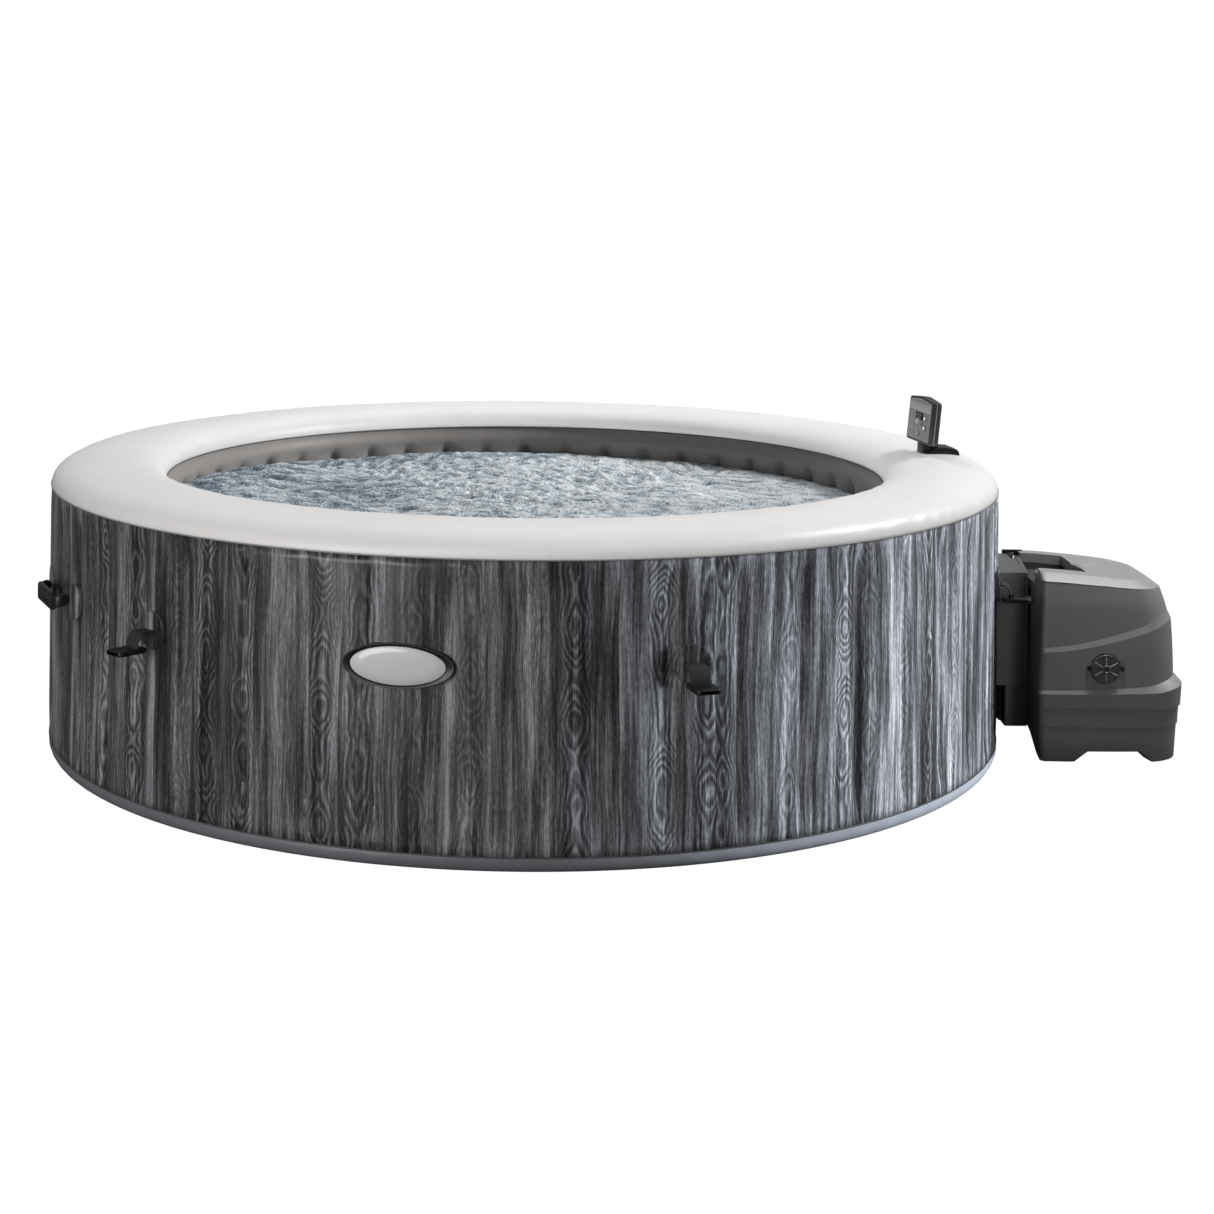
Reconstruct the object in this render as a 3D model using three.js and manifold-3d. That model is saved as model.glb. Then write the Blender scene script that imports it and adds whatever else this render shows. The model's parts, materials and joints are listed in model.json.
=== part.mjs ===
// Round inflatable hot tub with a pump unit beside it and a portable control panel on its rim.
// Millimetres, +Z up. The origin is the centre of the tub's footprint on the ground, and the
// pump unit stands on the +X side. Azimuths are degrees from +X, anticlockwise seen from above.
import * as THREE from "three";
import { mergeVertices } from "three/addons/utils/BufferGeometryUtils.js";
import Module from "manifold-3d";

const wasm = await Module();
wasm.setup();

// ---------------------------------------------------------------- driving dimensions
const GAP = 0.3; // clearance left between any two separate pieces

// The air chamber: outer wall, inner wall, arched rim on top, band and floor below.
const OUTER_R = 1080;
const INNER_R = 826;
const HEIGHT = 635;
const RIM_SEAM_Z = 583;
const BAND_TOP_Z = 30;
const FOOT_R = 1066;
const SKIN = 4;
const RING_SEGMENTS = 60;
const BAFFLE_COUNT = 24;

// Six cover latches and two carry handles, all at one height on the outer wall.
const FITTING_Z = 385;
const PATCH_R = 37;
const PATCH_THICK = 2;
const LATCH_COUNT = 6;
const FIRST_LATCH_AZIMUTH = -133;
const LATCH_AZIMUTH_STEP = 60;
const HANDLE_AZIMUTHS = [-156.4, 23.6];
const HANDLE_PATCH_TURN = 6;

// Oval badge on the front of the outer wall, left blank.
const BADGE = { azimuth: -102.6, z: 380, width: 220, height: 86, thick: 3 };

// Pump unit: its length runs along X, PUMP_Y to the side of the tub's own axis.
const PUMP_Y = -115;
const PUMP_SPLIT_Z = 160;
const PUMP_LID_Z = 394;
const PUMP_TOP_Z = 416;
const CASE_WALL = 5;
const NECK = { x0: 1062, x1: 1137, y0: -168, y1: -2, z0: 141, z1: 410, bevel: 28, wall: 4 };
const NECK_BLOCK_X0 = 1090;
const KNOB = { x: 1285, y: -284, z: 208, r: 31.5 };

// Three pipes cross the air chamber from the basin to the pump unit.
const INLET = { y: -135, z: 230, r: 22 };
const OUTLET = { y: -38, z: 230, r: 22 };
const AIR = { y: -85, z: 325, r: 16 };
const PIPE_WALL = 4;
const PIPE_END_X = 1200;

// Control panel: where its foot stands on the rim, which way it faces, and how far it leans back.
const PANEL_AT = { x: 920, y: 43 };
const PANEL_FACING = -170;
const PANEL_LEAN = 6;
const PANEL = { width: 154, side: 100, peak: 8, thick: 24, lift: 24 };

// ---------------------------------------------------------------- materials
const material = (color, roughness, metalness = 0) =>
  new THREE.MeshStandardMaterial({ color, roughness, metalness });
const WOOD_PRINT = material(0x5f5f63, 0.55);
const RIM_VINYL = material(0xe2e0de, 0.45);
const LINER_VINYL = material(0xb9b5b1, 0.5);
const BAND_VINYL = material(0x77787d, 0.5);
const WEB_FABRIC = material(0xd8d8d4, 0.8);
const BLACK_WEBBING = material(0x17171a, 0.8);
const BLACK_PLASTIC = material(0x131315, 0.4);
const CASE_PLASTIC = material(0x4b4a4b, 0.5);
const PANEL_PLASTIC = material(0x56565a, 0.45);
const DISPLAY_LENS = material(0x101418, 0.15);
const PALE_PLASTIC = material(0xd9dcdf, 0.4);
const FILTER_PAPER = material(0xe9ecef, 0.9);
const STEEL = material(0xa8abb0, 0.35, 0.9);

// ---------------------------------------------------------------- solids
const root = new THREE.Group();

// A closed geometry as a manifold-3d solid.
function toSolid(geometry) {
  const bare = geometry.index ? geometry.toNonIndexed() : geometry.clone();
  bare.deleteAttribute("normal");
  bare.deleteAttribute("uv");
  const merged = mergeVertices(bare, 1e-3);
  return new wasm.Manifold(
    new wasm.Mesh({
      numProp: 3,
      vertProperties: new Float32Array(merged.attributes.position.array),
      triVerts: new Uint32Array(merged.index.array),
    }),
  );
}

function toGeometry(solid) {
  const mesh = solid.getMesh();
  const geometry = new THREE.BufferGeometry();
  geometry.setAttribute("position", new THREE.BufferAttribute(mesh.vertProperties, 3));
  geometry.setIndex(new THREE.BufferAttribute(mesh.triVerts, 1));
  return geometry;
}

const join = (...geometries) =>
  toGeometry(geometries.map(toSolid).reduce((all, one) => all.add(one)));

const cut = (geometry, ...cutters) =>
  toGeometry(cutters.map(toSolid).reduce((left, one) => left.subtract(one), toSolid(geometry)));

function piece(parent, name, geometry, finish) {
  const mesh = new THREE.Mesh(geometry, finish);
  mesh.name = name;
  parent.add(mesh);
  return mesh;
}

// A frame on the outer wall: +X points out of the wall, +Z up.
function wallFrame(azimuth, z, radius = OUTER_R) {
  const frame = new THREE.Group();
  const angle = THREE.MathUtils.degToRad(azimuth);
  frame.position.set(radius * Math.cos(angle), radius * Math.sin(angle), z);
  frame.rotation.z = angle;
  root.add(frame);
  return frame;
}

// A closed loop of [radius, height] points, anticlockwise, turned round the Z axis.
function revolve(loop, segments = RING_SEGMENTS) {
  const points = [...loop, loop[0]].map(([r, z]) => new THREE.Vector2(r, z));
  return new THREE.LatheGeometry(points, segments).rotateX(Math.PI / 2);
}

// The same, turned round an axis along +X that starts at x = 0.
const revolveAlongX = (loop, segments = 24) =>
  revolve(loop, segments).rotateY(Math.PI / 2);

// A profile of [radius, x] that starts and ends on the axis, turned round the X axis.
const turnedAlongX = (profile, segments = 20) =>
  new THREE.LatheGeometry(profile.map(([r, x]) => new THREE.Vector2(r, x)), segments)
    .rotateX(Math.PI / 2)
    .rotateY(Math.PI / 2);

// A round bar or hole along X, from x0 to x1.
function barAlongX(radius, x0, x1, y, z, segments = 24) {
  return new THREE.CylinderGeometry(radius, radius, x1 - x0, segments)
    .rotateZ(Math.PI / 2)
    .translate((x0 + x1) / 2, y, z);
}

function box(x0, x1, y0, y1, z0, z1) {
  return new THREE.BoxGeometry(x1 - x0, y1 - y0, z1 - z0)
    .translate((x0 + x1) / 2, (y0 + y1) / 2, (z0 + z1) / 2);
}

// An outline drawn as (radial, up), made `width` wide across Y and centred on it.
function sideExtrude(shape, width, curveSegments = 6) {
  return new THREE.ExtrudeGeometry(shape, { depth: width, bevelEnabled: false, curveSegments })
    .rotateX(Math.PI / 2)
    .translate(0, width / 2, 0);
}

// An outline drawn as (x, y) in plan, raised from z0 to z1.
function planExtrude(shape, z0, z1, curveSegments = 6) {
  return new THREE.ExtrudeGeometry(shape, { depth: z1 - z0, bevelEnabled: false, curveSegments })
    .translate(0, 0, z0);
}

// A rectangle whose corners at the left (low x) and right ends have their own radii.
function roundedRectangle(x0, x1, y0, y1, leftR, rightR, cornerPoints = 5) {
  const corners = [
    [x0 + leftR, y0 + leftR, leftR, 180],
    [x1 - rightR, y0 + rightR, rightR, 270],
    [x1 - rightR, y1 - rightR, rightR, 0],
    [x0 + leftR, y1 - leftR, leftR, 90],
  ];
  return corners.flatMap(([cx, cy, r, start]) =>
    Array.from({ length: cornerPoints }, (_, i) => {
      const angle = THREE.MathUtils.degToRad(start + (90 * i) / (cornerPoints - 1));
      return new THREE.Vector2(cx + r * Math.cos(angle), cy + r * Math.sin(angle));
    }),
  );
}

// A closed skin through outlines of equal length, stacked upwards: [{ outline, z }, ...].
function loft(sections) {
  const n = sections[0].outline.length;
  const position = sections.flatMap(({ outline, z }) => outline.flatMap((p) => [p.x, p.y, z]));
  const index = [];
  for (let level = 0; level + 1 < sections.length; level++) {
    for (let i = 0; i < n; i++) {
      const a = level * n + i;
      const b = level * n + ((i + 1) % n);
      index.push(a, b, b + n, a, b + n, a + n);
    }
  }
  const top = (sections.length - 1) * n;
  for (let i = 1; i + 1 < n; i++) {
    index.push(0, i + 1, i, top, top + i, top + i + 1);
  }
  const geometry = new THREE.BufferGeometry();
  geometry.setAttribute("position", new THREE.Float32BufferAttribute(position, 3));
  geometry.setIndex(index);
  return geometry;
}

// ---------------------------------------------------------------- air chamber
// The three holes that the pipes pass through, as cutters along X.
const pipeHoles = () =>
  [INLET, OUTLET, AIR].map(({ y, z, r }) => barAlongX(r + GAP, 700, 1300, y, z));

// The rim's arch from the outer seam over the crest to the inner seam, `inset` inside its skin.
function rimArch(inset, points = 7) {
  const middle = (OUTER_R + INNER_R) / 2;
  const halfWidth = (OUTER_R - INNER_R) / 2 - inset;
  const rise = HEIGHT - RIM_SEAM_Z - inset;
  const fullness = 2 / 2.4; // superellipse exponent: flatter than an ellipse on top
  return Array.from({ length: points }, (_, i) => {
    const angle = (Math.PI * i) / (points - 1);
    const c = Math.cos(angle);
    return [
      middle + halfWidth * Math.sign(c) * Math.abs(c) ** fullness,
      RIM_SEAM_Z + rise * Math.sin(angle) ** fullness,
    ];
  });
}

function buildChamber() {
  const ring = (r0, r1, z0, z1) => revolve([[r0, z0], [r1, z0], [r1, z1], [r0, z1]]);
  const outerWall = ring(OUTER_R - SKIN, OUTER_R, BAND_TOP_Z, RIM_SEAM_Z - GAP);
  const innerWall = ring(INNER_R, INNER_R + SKIN, SKIN + GAP, RIM_SEAM_Z - GAP);
  piece(root, "outer_wall", cut(outerWall, ...pipeHoles()), WOOD_PRINT);
  piece(root, "inner_wall", cut(innerWall, ...pipeHoles()), LINER_VINYL);
  piece(root, "top_rim", revolve([...rimArch(0), ...rimArch(SKIN).reverse()]), RIM_VINYL);

  // The band turns under the chamber and closes it, and the floor sheet fills the middle.
  const band = revolve([
    [INNER_R + GAP, 0],
    [FOOT_R, 0],
    [OUTER_R - 6, 8],
    [OUTER_R, BAND_TOP_Z - GAP],
    [OUTER_R - SKIN, BAND_TOP_Z - GAP],
    [OUTER_R - 9, 10],
    [FOOT_R - 2, SKIN],
    [INNER_R + GAP, SKIN],
  ]);
  piece(root, "base_band", band, BAND_VINYL);
  const floor = new THREE.CylinderGeometry(INNER_R, INNER_R, SKIN, RING_SEGMENTS)
    .rotateX(Math.PI / 2)
    .translate(0, 0, SKIN / 2);
  piece(root, "floor_sheet", floor, LINER_VINYL);

  // One continuous zigzag web ties the two walls together so that the chamber keeps its shape.
  const web = { clear: 12, thick: 3, z0: 30, z1: 535 };
  const steps = Array.from({ length: 2 * BAFFLE_COUNT }, (_, i) => i);
  const zigzag = (offset) =>
    steps.map((i) => {
      const angle = (Math.PI * i) / BAFFLE_COUNT;
      const inside = INNER_R + SKIN + web.clear;
      const outside = OUTER_R - SKIN - web.clear;
      const r = (i % 2 ? outside : inside) + offset;
      return new THREE.Vector2(r * Math.cos(angle), r * Math.sin(angle));
    });
  const webPlan = new THREE.Shape(zigzag(web.thick));
  webPlan.holes.push(new THREE.Path(zigzag(-web.thick)));
  piece(root, "baffle_web", cut(planExtrude(webPlan, web.z0, web.z1), ...pipeHoles()), WEB_FABRIC);

  // The air channel that feeds the bubbles: an arch welded to the floor beside the inner wall.
  const channelR = INNER_R - 30;
  const arch = (r, points = 4) =>
    Array.from({ length: points }, (_, i) => {
      const angle = (Math.PI * i) / (points - 1);
      return [channelR + r * Math.cos(angle), SKIN + GAP + r * Math.sin(angle)];
    });
  piece(root, "bubble_channel", revolve([...arch(26), ...arch(22).reverse()]), LINER_VINYL);
}

// ---------------------------------------------------------------- pipes and filter in the basin
function buildPipes() {
  // A flanged pipe from inside the basin, through both walls and into the pump unit.
  const pipe = (name, { y, z, r }) => {
    const wallX = Math.sqrt(INNER_R ** 2 - (Math.abs(y) + r + 12) ** 2);
    const flangeX = wallX - 6;
    const loop = [
      [r - PIPE_WALL, 0],
      [r + 10, 0],
      [r + 10, 4],
      [r, 4],
      [r, PIPE_END_X - flangeX],
      [r - PIPE_WALL, PIPE_END_X - flangeX],
    ];
    piece(root, name, revolveAlongX(loop, 20).translate(flangeX, y, z), BLACK_PLASTIC);
    return flangeX;
  };
  const inletX = pipe("inlet_pipe", INLET);
  const outletX = pipe("outlet_pipe", OUTLET);
  pipe("air_pipe", AIR);

  // Filter cup on the inlet, open towards the basin, with the pleated cartridge inside it.
  const cup = { r: 58, length: 92, wall: 3, back: 5 };
  const cupLoop = [
    [INLET.r - 2, cup.length - cup.back],
    [INLET.r - 2, cup.length],
    [cup.r, cup.length],
    [cup.r, 0],
    [cup.r - cup.wall, 0],
    [cup.r - cup.wall, cup.length - cup.back],
  ].reverse();
  const cupX = inletX - GAP - cup.length;
  piece(root, "filter_cup", revolveAlongX(cupLoop).translate(cupX, INLET.y, INLET.z), CASE_PLASTIC);
  const cartridgeLoop = [[24, 4], [24, 80], [53, 80], [53, 4]].reverse();
  const cartridge = revolveAlongX(cartridgeLoop).translate(cupX, INLET.y, INLET.z);
  piece(root, "filter_cartridge", cartridge, FILTER_PAPER);

  // Grille over the outlet: a shallow cap with a row of slots.
  const cap = turnedAlongX([[0, 0], [30, 0], [34, 6], [34, 14], [30, 14], [30, 5], [0, 5]]);
  const slots = [-15, -5, 5, 15].map((y) => box(-2, 8, y - 2, y + 2, -20, 20));
  piece(
    root,
    "outlet_grille",
    cut(cap, ...slots).translate(outletX - 14 - GAP, OUTLET.y, OUTLET.z),
    BLACK_PLASTIC,
  );
}

// ---------------------------------------------------------------- latches, handles and valves
const patchDisc = () =>
  new THREE.CylinderGeometry(PATCH_R, PATCH_R, PATCH_THICK, 20)
    .rotateZ(Math.PI / 2)
    .translate(GAP + PATCH_THICK / 2, 0, 0);

// The webbing leaves the patch level, bends down through a quarter circle and ends on the buckle.
const STRAP = { width: 39, thick: 3, rootX: 4.5, bendR: 27, reach: 55 };
// The latch between the tub and the pump unit has less room, so its strap is pulled in.
const CRAMPED_LATCH = 3;
const CRAMPED_REACH = 33;
// The buckle half lies level below the strap's end, from `near` short of it to `far` beyond it.
const BUCKLE = { near: 23, far: 45, width: 50, thick: 10, cornerR: 10 };

function strapShape(reach) {
  const half = STRAP.thick / 2;
  const { rootX, bendR } = STRAP;
  const bendX = reach - bendR;
  const shape = new THREE.Shape();
  shape.moveTo(rootX, -half);
  shape.lineTo(bendX, -half);
  shape.absarc(bendX, -bendR, bendR - half, Math.PI / 2, 0, true);
  shape.lineTo(bendX + bendR + half, -bendR);
  shape.absarc(bendX, -bendR, bendR + half, 0, Math.PI / 2, false);
  shape.lineTo(rootX, half);
  shape.absarc(rootX, 0, half, Math.PI / 2, (3 * Math.PI) / 2, false);
  return shape;
}

function buildLatch(number) {
  const frame = wallFrame(FIRST_LATCH_AZIMUTH + LATCH_AZIMUTH_STEP * (number - 1), FITTING_Z);
  piece(frame, `latch_patch_${number}`, patchDisc(), WOOD_PRINT);
  const reach = number === CRAMPED_LATCH ? CRAMPED_REACH : STRAP.reach;
  const strap = sideExtrude(strapShape(reach), STRAP.width, 5);
  piece(frame, `latch_strap_${number}`, strap, BLACK_WEBBING);
  const half = BUCKLE.width / 2;
  const [x0, x1] = [reach - BUCKLE.near, reach + BUCKLE.far];
  const plan = new THREE.Shape(roundedRectangle(x0, x1, -half, half, 5, BUCKLE.cornerR, 4));
  plan.holes.push(new THREE.Path(roundedRectangle(x0 + 27, x1 - 6, -17, 17, 2, 4, 2)));
  const top = -STRAP.bendR - GAP;
  const frameSides = planExtrude(plan, top - BUCKLE.thick, top);
  const floorPlate = box(x0 + 26, x1 - 5, -18, 18, top - BUCKLE.thick, top - BUCKLE.thick + 3);
  piece(frame, `latch_buckle_${number}`, join(frameSides, floorPlate), BLACK_PLASTIC);
}

// The handle is a U seen from above: two arms with round ends at the wall and a taller grip.
const HANDLE = { halfSpan: 88, pivotX: 16, armHeight: 25, armThick: 7, reach: 38, gripHeight: 40 };

function buildHandle(number) {
  const frame = wallFrame(HANDLE_AZIMUTHS[number - 1], FITTING_Z);
  const { halfSpan, pivotX, armHeight, armThick, reach, gripHeight } = HANDLE;
  const armShape = new THREE.Shape();
  armShape.moveTo(reach, armHeight / 2);
  armShape.absarc(pivotX, 0, armHeight / 2, Math.PI / 2, (3 * Math.PI) / 2, false);
  armShape.lineTo(reach, -armHeight / 2);
  const arm = (side) =>
    sideExtrude(armShape, armThick, 10).translate(0, side * (halfSpan - armThick / 2), 0);
  const gripOutline = roundedRectangle(reach - 9, reach, -halfSpan, halfSpan, 3, 6, 3);
  const grip = planExtrude(new THREE.Shape(gripOutline), -gripHeight / 2, gripHeight / 2);
  piece(frame, `handle_${number}`, join(arm(-1), arm(1), grip), BLACK_PLASTIC);
  [-1, 1].forEach((side) => {
    const spot = wallFrame(HANDLE_AZIMUTHS[number - 1] + side * HANDLE_PATCH_TURN, FITTING_Z);
    piece(spot, `handle_patch_${number}${side < 0 ? "a" : "b"}`, patchDisc(), WOOD_PRINT);
  });
}

function buildValves() {
  // Inflation valve: a flat body with an open throat, and a cap hinged at its lower edge.
  const inflation = wallFrame(75, 300);
  const bodyLoop = [[12, 1], [34, 1], [34, 4], [24, 8], [12, 8]];
  piece(inflation, "inflation_valve", revolveAlongX(bodyLoop, 20), CASE_PLASTIC);
  const capDisc = barAlongX(22, 8 + GAP, 14, 0, 0, 20);
  piece(inflation, "inflation_cap", join(capDisc, box(9, 13, -5, 5, -29, -18)), CASE_PLASTIC);

  // Drain valve near the ground, with a screw cap.
  const drain = wallFrame(130, 75);
  const spigotLoop = [[13, 1], [30, 1], [30, 5], [18, 5], [18, 24], [13, 24]];
  piece(drain, "drain_valve", revolveAlongX(spigotLoop, 20), CASE_PLASTIC);
  const cap = turnedAlongX([
    [0, 24 + GAP],
    [18 + GAP, 24 + GAP],
    [18 + GAP, 8],
    [23, 8],
    [23, 29],
    [0, 29],
  ]);
  piece(drain, "drain_cap", join(cap, box(10, 27, 21, 27, -4, 4)), CASE_PLASTIC);
}

// The badge is a blank oval plate that follows the curve of the wall.
function buildBadge() {
  const outline = new THREE.Shape();
  outline.absellipse(0, 0, BADGE.width / 2, BADGE.height / 2, 0, 2 * Math.PI, false, 0);
  const blank = new THREE.ExtrudeGeometry(outline, {
    depth: 60,
    bevelEnabled: false,
    curveSegments: 12,
  })
    .rotateX(Math.PI / 2)
    .rotateZ(Math.PI / 2)
    .translate(OUTER_R - 30, 0, BADGE.z)
    .rotateZ(THREE.MathUtils.degToRad(BADGE.azimuth));
  const inside = OUTER_R + GAP;
  const z = [BADGE.z - BADGE.height, BADGE.z + BADGE.height];
  const outside = inside + BADGE.thick;
  const shell = revolve([[inside, z[0]], [outside, z[0]], [outside, z[1]], [inside, z[1]]], 180);
  piece(root, "oval_badge", toGeometry(toSolid(shell).intersect(toSolid(blank))), BLACK_PLASTIC);
}

// ---------------------------------------------------------------- pump unit
// The case's plan at one height: left end square to the tub, right end well rounded.
function caseOutline(left, right, halfDepth, inset = 0, cornerPoints = 5) {
  return roundedRectangle(
    left + inset,
    right - inset,
    PUMP_Y - halfDepth + inset,
    PUMP_Y + halfDepth - inset,
    14,
    90 - inset,
    cornerPoints,
  );
}

// [height, left, right, half depth] from the ground to the ledge, and from the ledge to the lid.
const SKIRT = [[0, 1143, 1461, 164], [PUMP_SPLIT_Z, 1138, 1475, 170]];
const SHELL = [
  [PUMP_SPLIT_Z + GAP, 1139, 1460, 169],
  [257, 1142, 1457, 167],
  [347, 1146, 1442, 162],
  [PUMP_LID_Z, 1148, 1424, 157],
];

const caseLoft = (levels, inset) =>
  loft(levels.map(([z, left, right, half]) => ({ z, outline: caseOutline(left, right, half, inset) })));

function buildPumpCase() {
  // Skirt with a floor, an arch between its feet and the low block under the neck.
  const [, splitLevel] = SKIRT;
  const hollow = caseLoft([[30, 1143, 1461, 164], [PUMP_SPLIT_Z + 5, ...splitLevel.slice(1)]], CASE_WALL);
  const archProfile = new THREE.Shape([
    new THREE.Vector2(1214, -1),
    new THREE.Vector2(1374, -1),
    new THREE.Vector2(1350, 22),
    new THREE.Vector2(1240, 22),
  ]);
  const arch = sideExtrude(archProfile, 400).translate(0, PUMP_Y, 0);
  const neckBlock = box(NECK_BLOCK_X0, 1150, NECK.y0 + 8, NECK.y1 - 8, 50, NECK.z0 - GAP);
  const skirt = cut(join(caseLoft(SKIRT, 0), neckBlock), hollow, arch);
  piece(root, "pump_base", skirt, CASE_PLASTIC);

  // Shell: a sleeve with a window for the pipes in its left wall.
  const above = [[100, ...SHELL[0].slice(1)], ...SHELL.slice(1, 3), [420, ...SHELL[3].slice(1)]];
  const window = box(1130, 1165, NECK.y0 + 6, NECK.y1 - 6, 180, 360);
  piece(root, "pump_shell", cut(caseLoft(SHELL, 0), caseLoft(above, CASE_WALL), window), CASE_PLASTIC);

  // Lid: bevelled, crowned, and hollow, with a tray in which the control panel can be parked.
  const [, left, right, half] = SHELL[3];
  const lidOutside = loft([
    { z: PUMP_LID_Z + GAP, outline: caseOutline(left, right, half) },
    { z: 411, outline: caseOutline(left, right, half, 26) },
    { z: PUMP_TOP_Z, outline: caseOutline(left, right, half, 60) },
  ]);
  const lidInside = loft([
    { z: PUMP_LID_Z - 5, outline: caseOutline(left, right, half, CASE_WALL) },
    { z: PUMP_LID_Z + 1, outline: caseOutline(left, right, half, CASE_WALL) },
    { z: 406, outline: caseOutline(left, right, half, 28) },
  ]);
  const shellOfLid = cut(lidOutside, lidInside);
  const tray = box(1155, 1256, -221, -31, 380, 412);
  const trayHollow = box(1130, 1251, -216, -36, 384, 440);
  piece(root, "pump_lid", cut(join(shellOfLid, tray), trayHollow), CASE_PLASTIC);

  // Neck: a cover over the pipes with bevelled shoulders, open below and at both ends, and
  // hollowed at its left end to fit the round wall.
  const neckProfile = (inset, foot) =>
    new THREE.Shape([
      new THREE.Vector2(NECK.y0 + inset, foot),
      new THREE.Vector2(NECK.y1 - inset, foot),
      new THREE.Vector2(NECK.y1 - inset, NECK.z1 - NECK.bevel),
      new THREE.Vector2(NECK.y1 - inset - NECK.bevel, NECK.z1 - inset),
      new THREE.Vector2(NECK.y0 + inset + NECK.bevel, NECK.z1 - inset),
      new THREE.Vector2(NECK.y0 + inset, NECK.z1 - NECK.bevel),
    ]);
  const along = (shape, x0, x1) =>
    new THREE.ExtrudeGeometry(shape, { depth: x1 - x0, bevelEnabled: false })
      .rotateX(Math.PI / 2)
      .rotateZ(Math.PI / 2)
      .translate(x0, 0, 0);
  const cover = along(neckProfile(0, NECK.z0), NECK.x0, NECK.x1);
  const underCover = along(neckProfile(NECK.wall, NECK.z0 - 5), NECK.x0 - 5, NECK.x1 + 5);
  const tub = new THREE.CylinderGeometry(OUTER_R + GAP, OUTER_R + GAP, 2 * HEIGHT, RING_SEGMENTS)
    .rotateX(Math.PI / 2);
  piece(root, "neck_cover", cut(cover, underCover, tub), CASE_PLASTIC);

  // Drain knob on the front: a disc with raised ribs and a hole in its hub.
  const ribs = [0, 60, 120].map((turn) =>
    box(-3, 0.5, -KNOB.r + 3, KNOB.r - 3, -1.5, 1.5).rotateX(THREE.MathUtils.degToRad(turn)),
  );
  const disc = barAlongX(KNOB.r, 0, 7, 0, 0, 20);
  const hub = barAlongX(9, -5, 3, 0, 0, 12);
  const bore = barAlongX(4, -6, 4, 0, 0, 8);
  const knob = piece(root, "drain_knob", cut(join(disc, hub, ...ribs), bore), BLACK_PLASTIC);
  knob.position.set(KNOB.x, KNOB.y - 7 - GAP, KNOB.z);
  knob.rotation.z = Math.PI / 2;
}

function buildPumpInsides() {
  // Circulation pump: a motor with a cup on its end, and the impeller that spins in the cup.
  const pumpX = 1250;
  const centre = { y: -150, z: 92 };
  const motor = turnedAlongX([
    [0, 26],
    [34, 26],
    [34, -2],
    [46, -2],
    [46, 34],
    [38, 34],
    [38, 130],
    [0, 130],
  ]);
  piece(root, "circulation_pump", motor.translate(pumpX, centre.y, centre.z), STEEL);
  const disc = barAlongX(28, 8, 12, 0, 0, 16);
  const vanes = [0, 45, 90, 135].map((turn) =>
    box(0, 8.5, -27, 27, -1.5, 1.5).rotateX(THREE.MathUtils.degToRad(turn)),
  );
  const impeller = join(disc, ...vanes).translate(pumpX + 6, centre.y, centre.z);
  piece(root, "impeller", impeller, BLACK_PLASTIC);

  // Heater: a steel tube in line with the outlet pipe.
  const heater = revolveAlongX([[20, 0], [26, 0], [26, 180], [20, 180]], 16);
  piece(root, "heater_tube", heater.translate(PIPE_END_X + 10, OUTLET.y, OUTLET.z), STEEL);

  // Air blower: an open cup with a bladed fan spinning in it about a vertical axis.
  const blower = { x: 1340, y: -185, z: 235, r: 52 };
  const cup = revolve([
    [6, 0], [blower.r, 0], [blower.r, 60], [blower.r - 4, 60], [blower.r - 4, 5], [6, 5],
  ], 20);
  piece(root, "air_blower", cup.translate(blower.x, blower.y, blower.z), BLACK_PLASTIC);
  const blade = (turn) => box(4, 44, -1.5, 1.5, 8, 50).rotateZ(THREE.MathUtils.degToRad(turn));
  const spindle = new THREE.CylinderGeometry(10, 10, 44, 12).rotateX(Math.PI / 2).translate(0, 0, 30);
  const fan = join(spindle, ...[0, 60, 120, 180, 240, 300].map(blade));
  piece(root, "blower_fan", fan.translate(blower.x, blower.y, blower.z), PALE_PLASTIC);

  piece(root, "control_board", box(1275, 1385, -90, 10, 350, 354), BAND_VINYL);
}

// The supply cable leaves the back of the base and ends, coiled, in a moulded plug with a breaker.
function buildCable() {
  const radius = 4.5;
  const coil = [];
  for (let turn = 0; turn <= 9; turn++) {
    const angle = THREE.MathUtils.degToRad(-90 + turn * 60);
    const r = 70 - turn * 2;
    coil.push(new THREE.Vector3(1330 + r * Math.cos(angle), 160 + r * Math.sin(angle), 6 + turn * 1.6));
  }
  const start = new THREE.Vector3(1225, 61, 60);
  const curve = new THREE.CatmullRomCurve3([start, new THREE.Vector3(1245, 74, 20), ...coil]);
  const section = new THREE.Shape();
  section.absarc(0, 0, radius, 0, 2 * Math.PI);
  const cable = new THREE.ExtrudeGeometry(section, {
    steps: 40,
    curveSegments: 4,
    extrudePath: curve,
    bevelEnabled: false,
  });
  const end = coil[coil.length - 1];
  const plug = box(end.x - 50, end.x + 6, end.y - 30, end.y + 30, 3, 45);
  const pins = [-10, 10].map((dy) => box(end.x - 68, end.x - 49, end.y + dy - 2, end.y + dy + 2, 20, 28));
  piece(root, "power_cable", join(cable, plug, ...pins), BLACK_PLASTIC);
}

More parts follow.
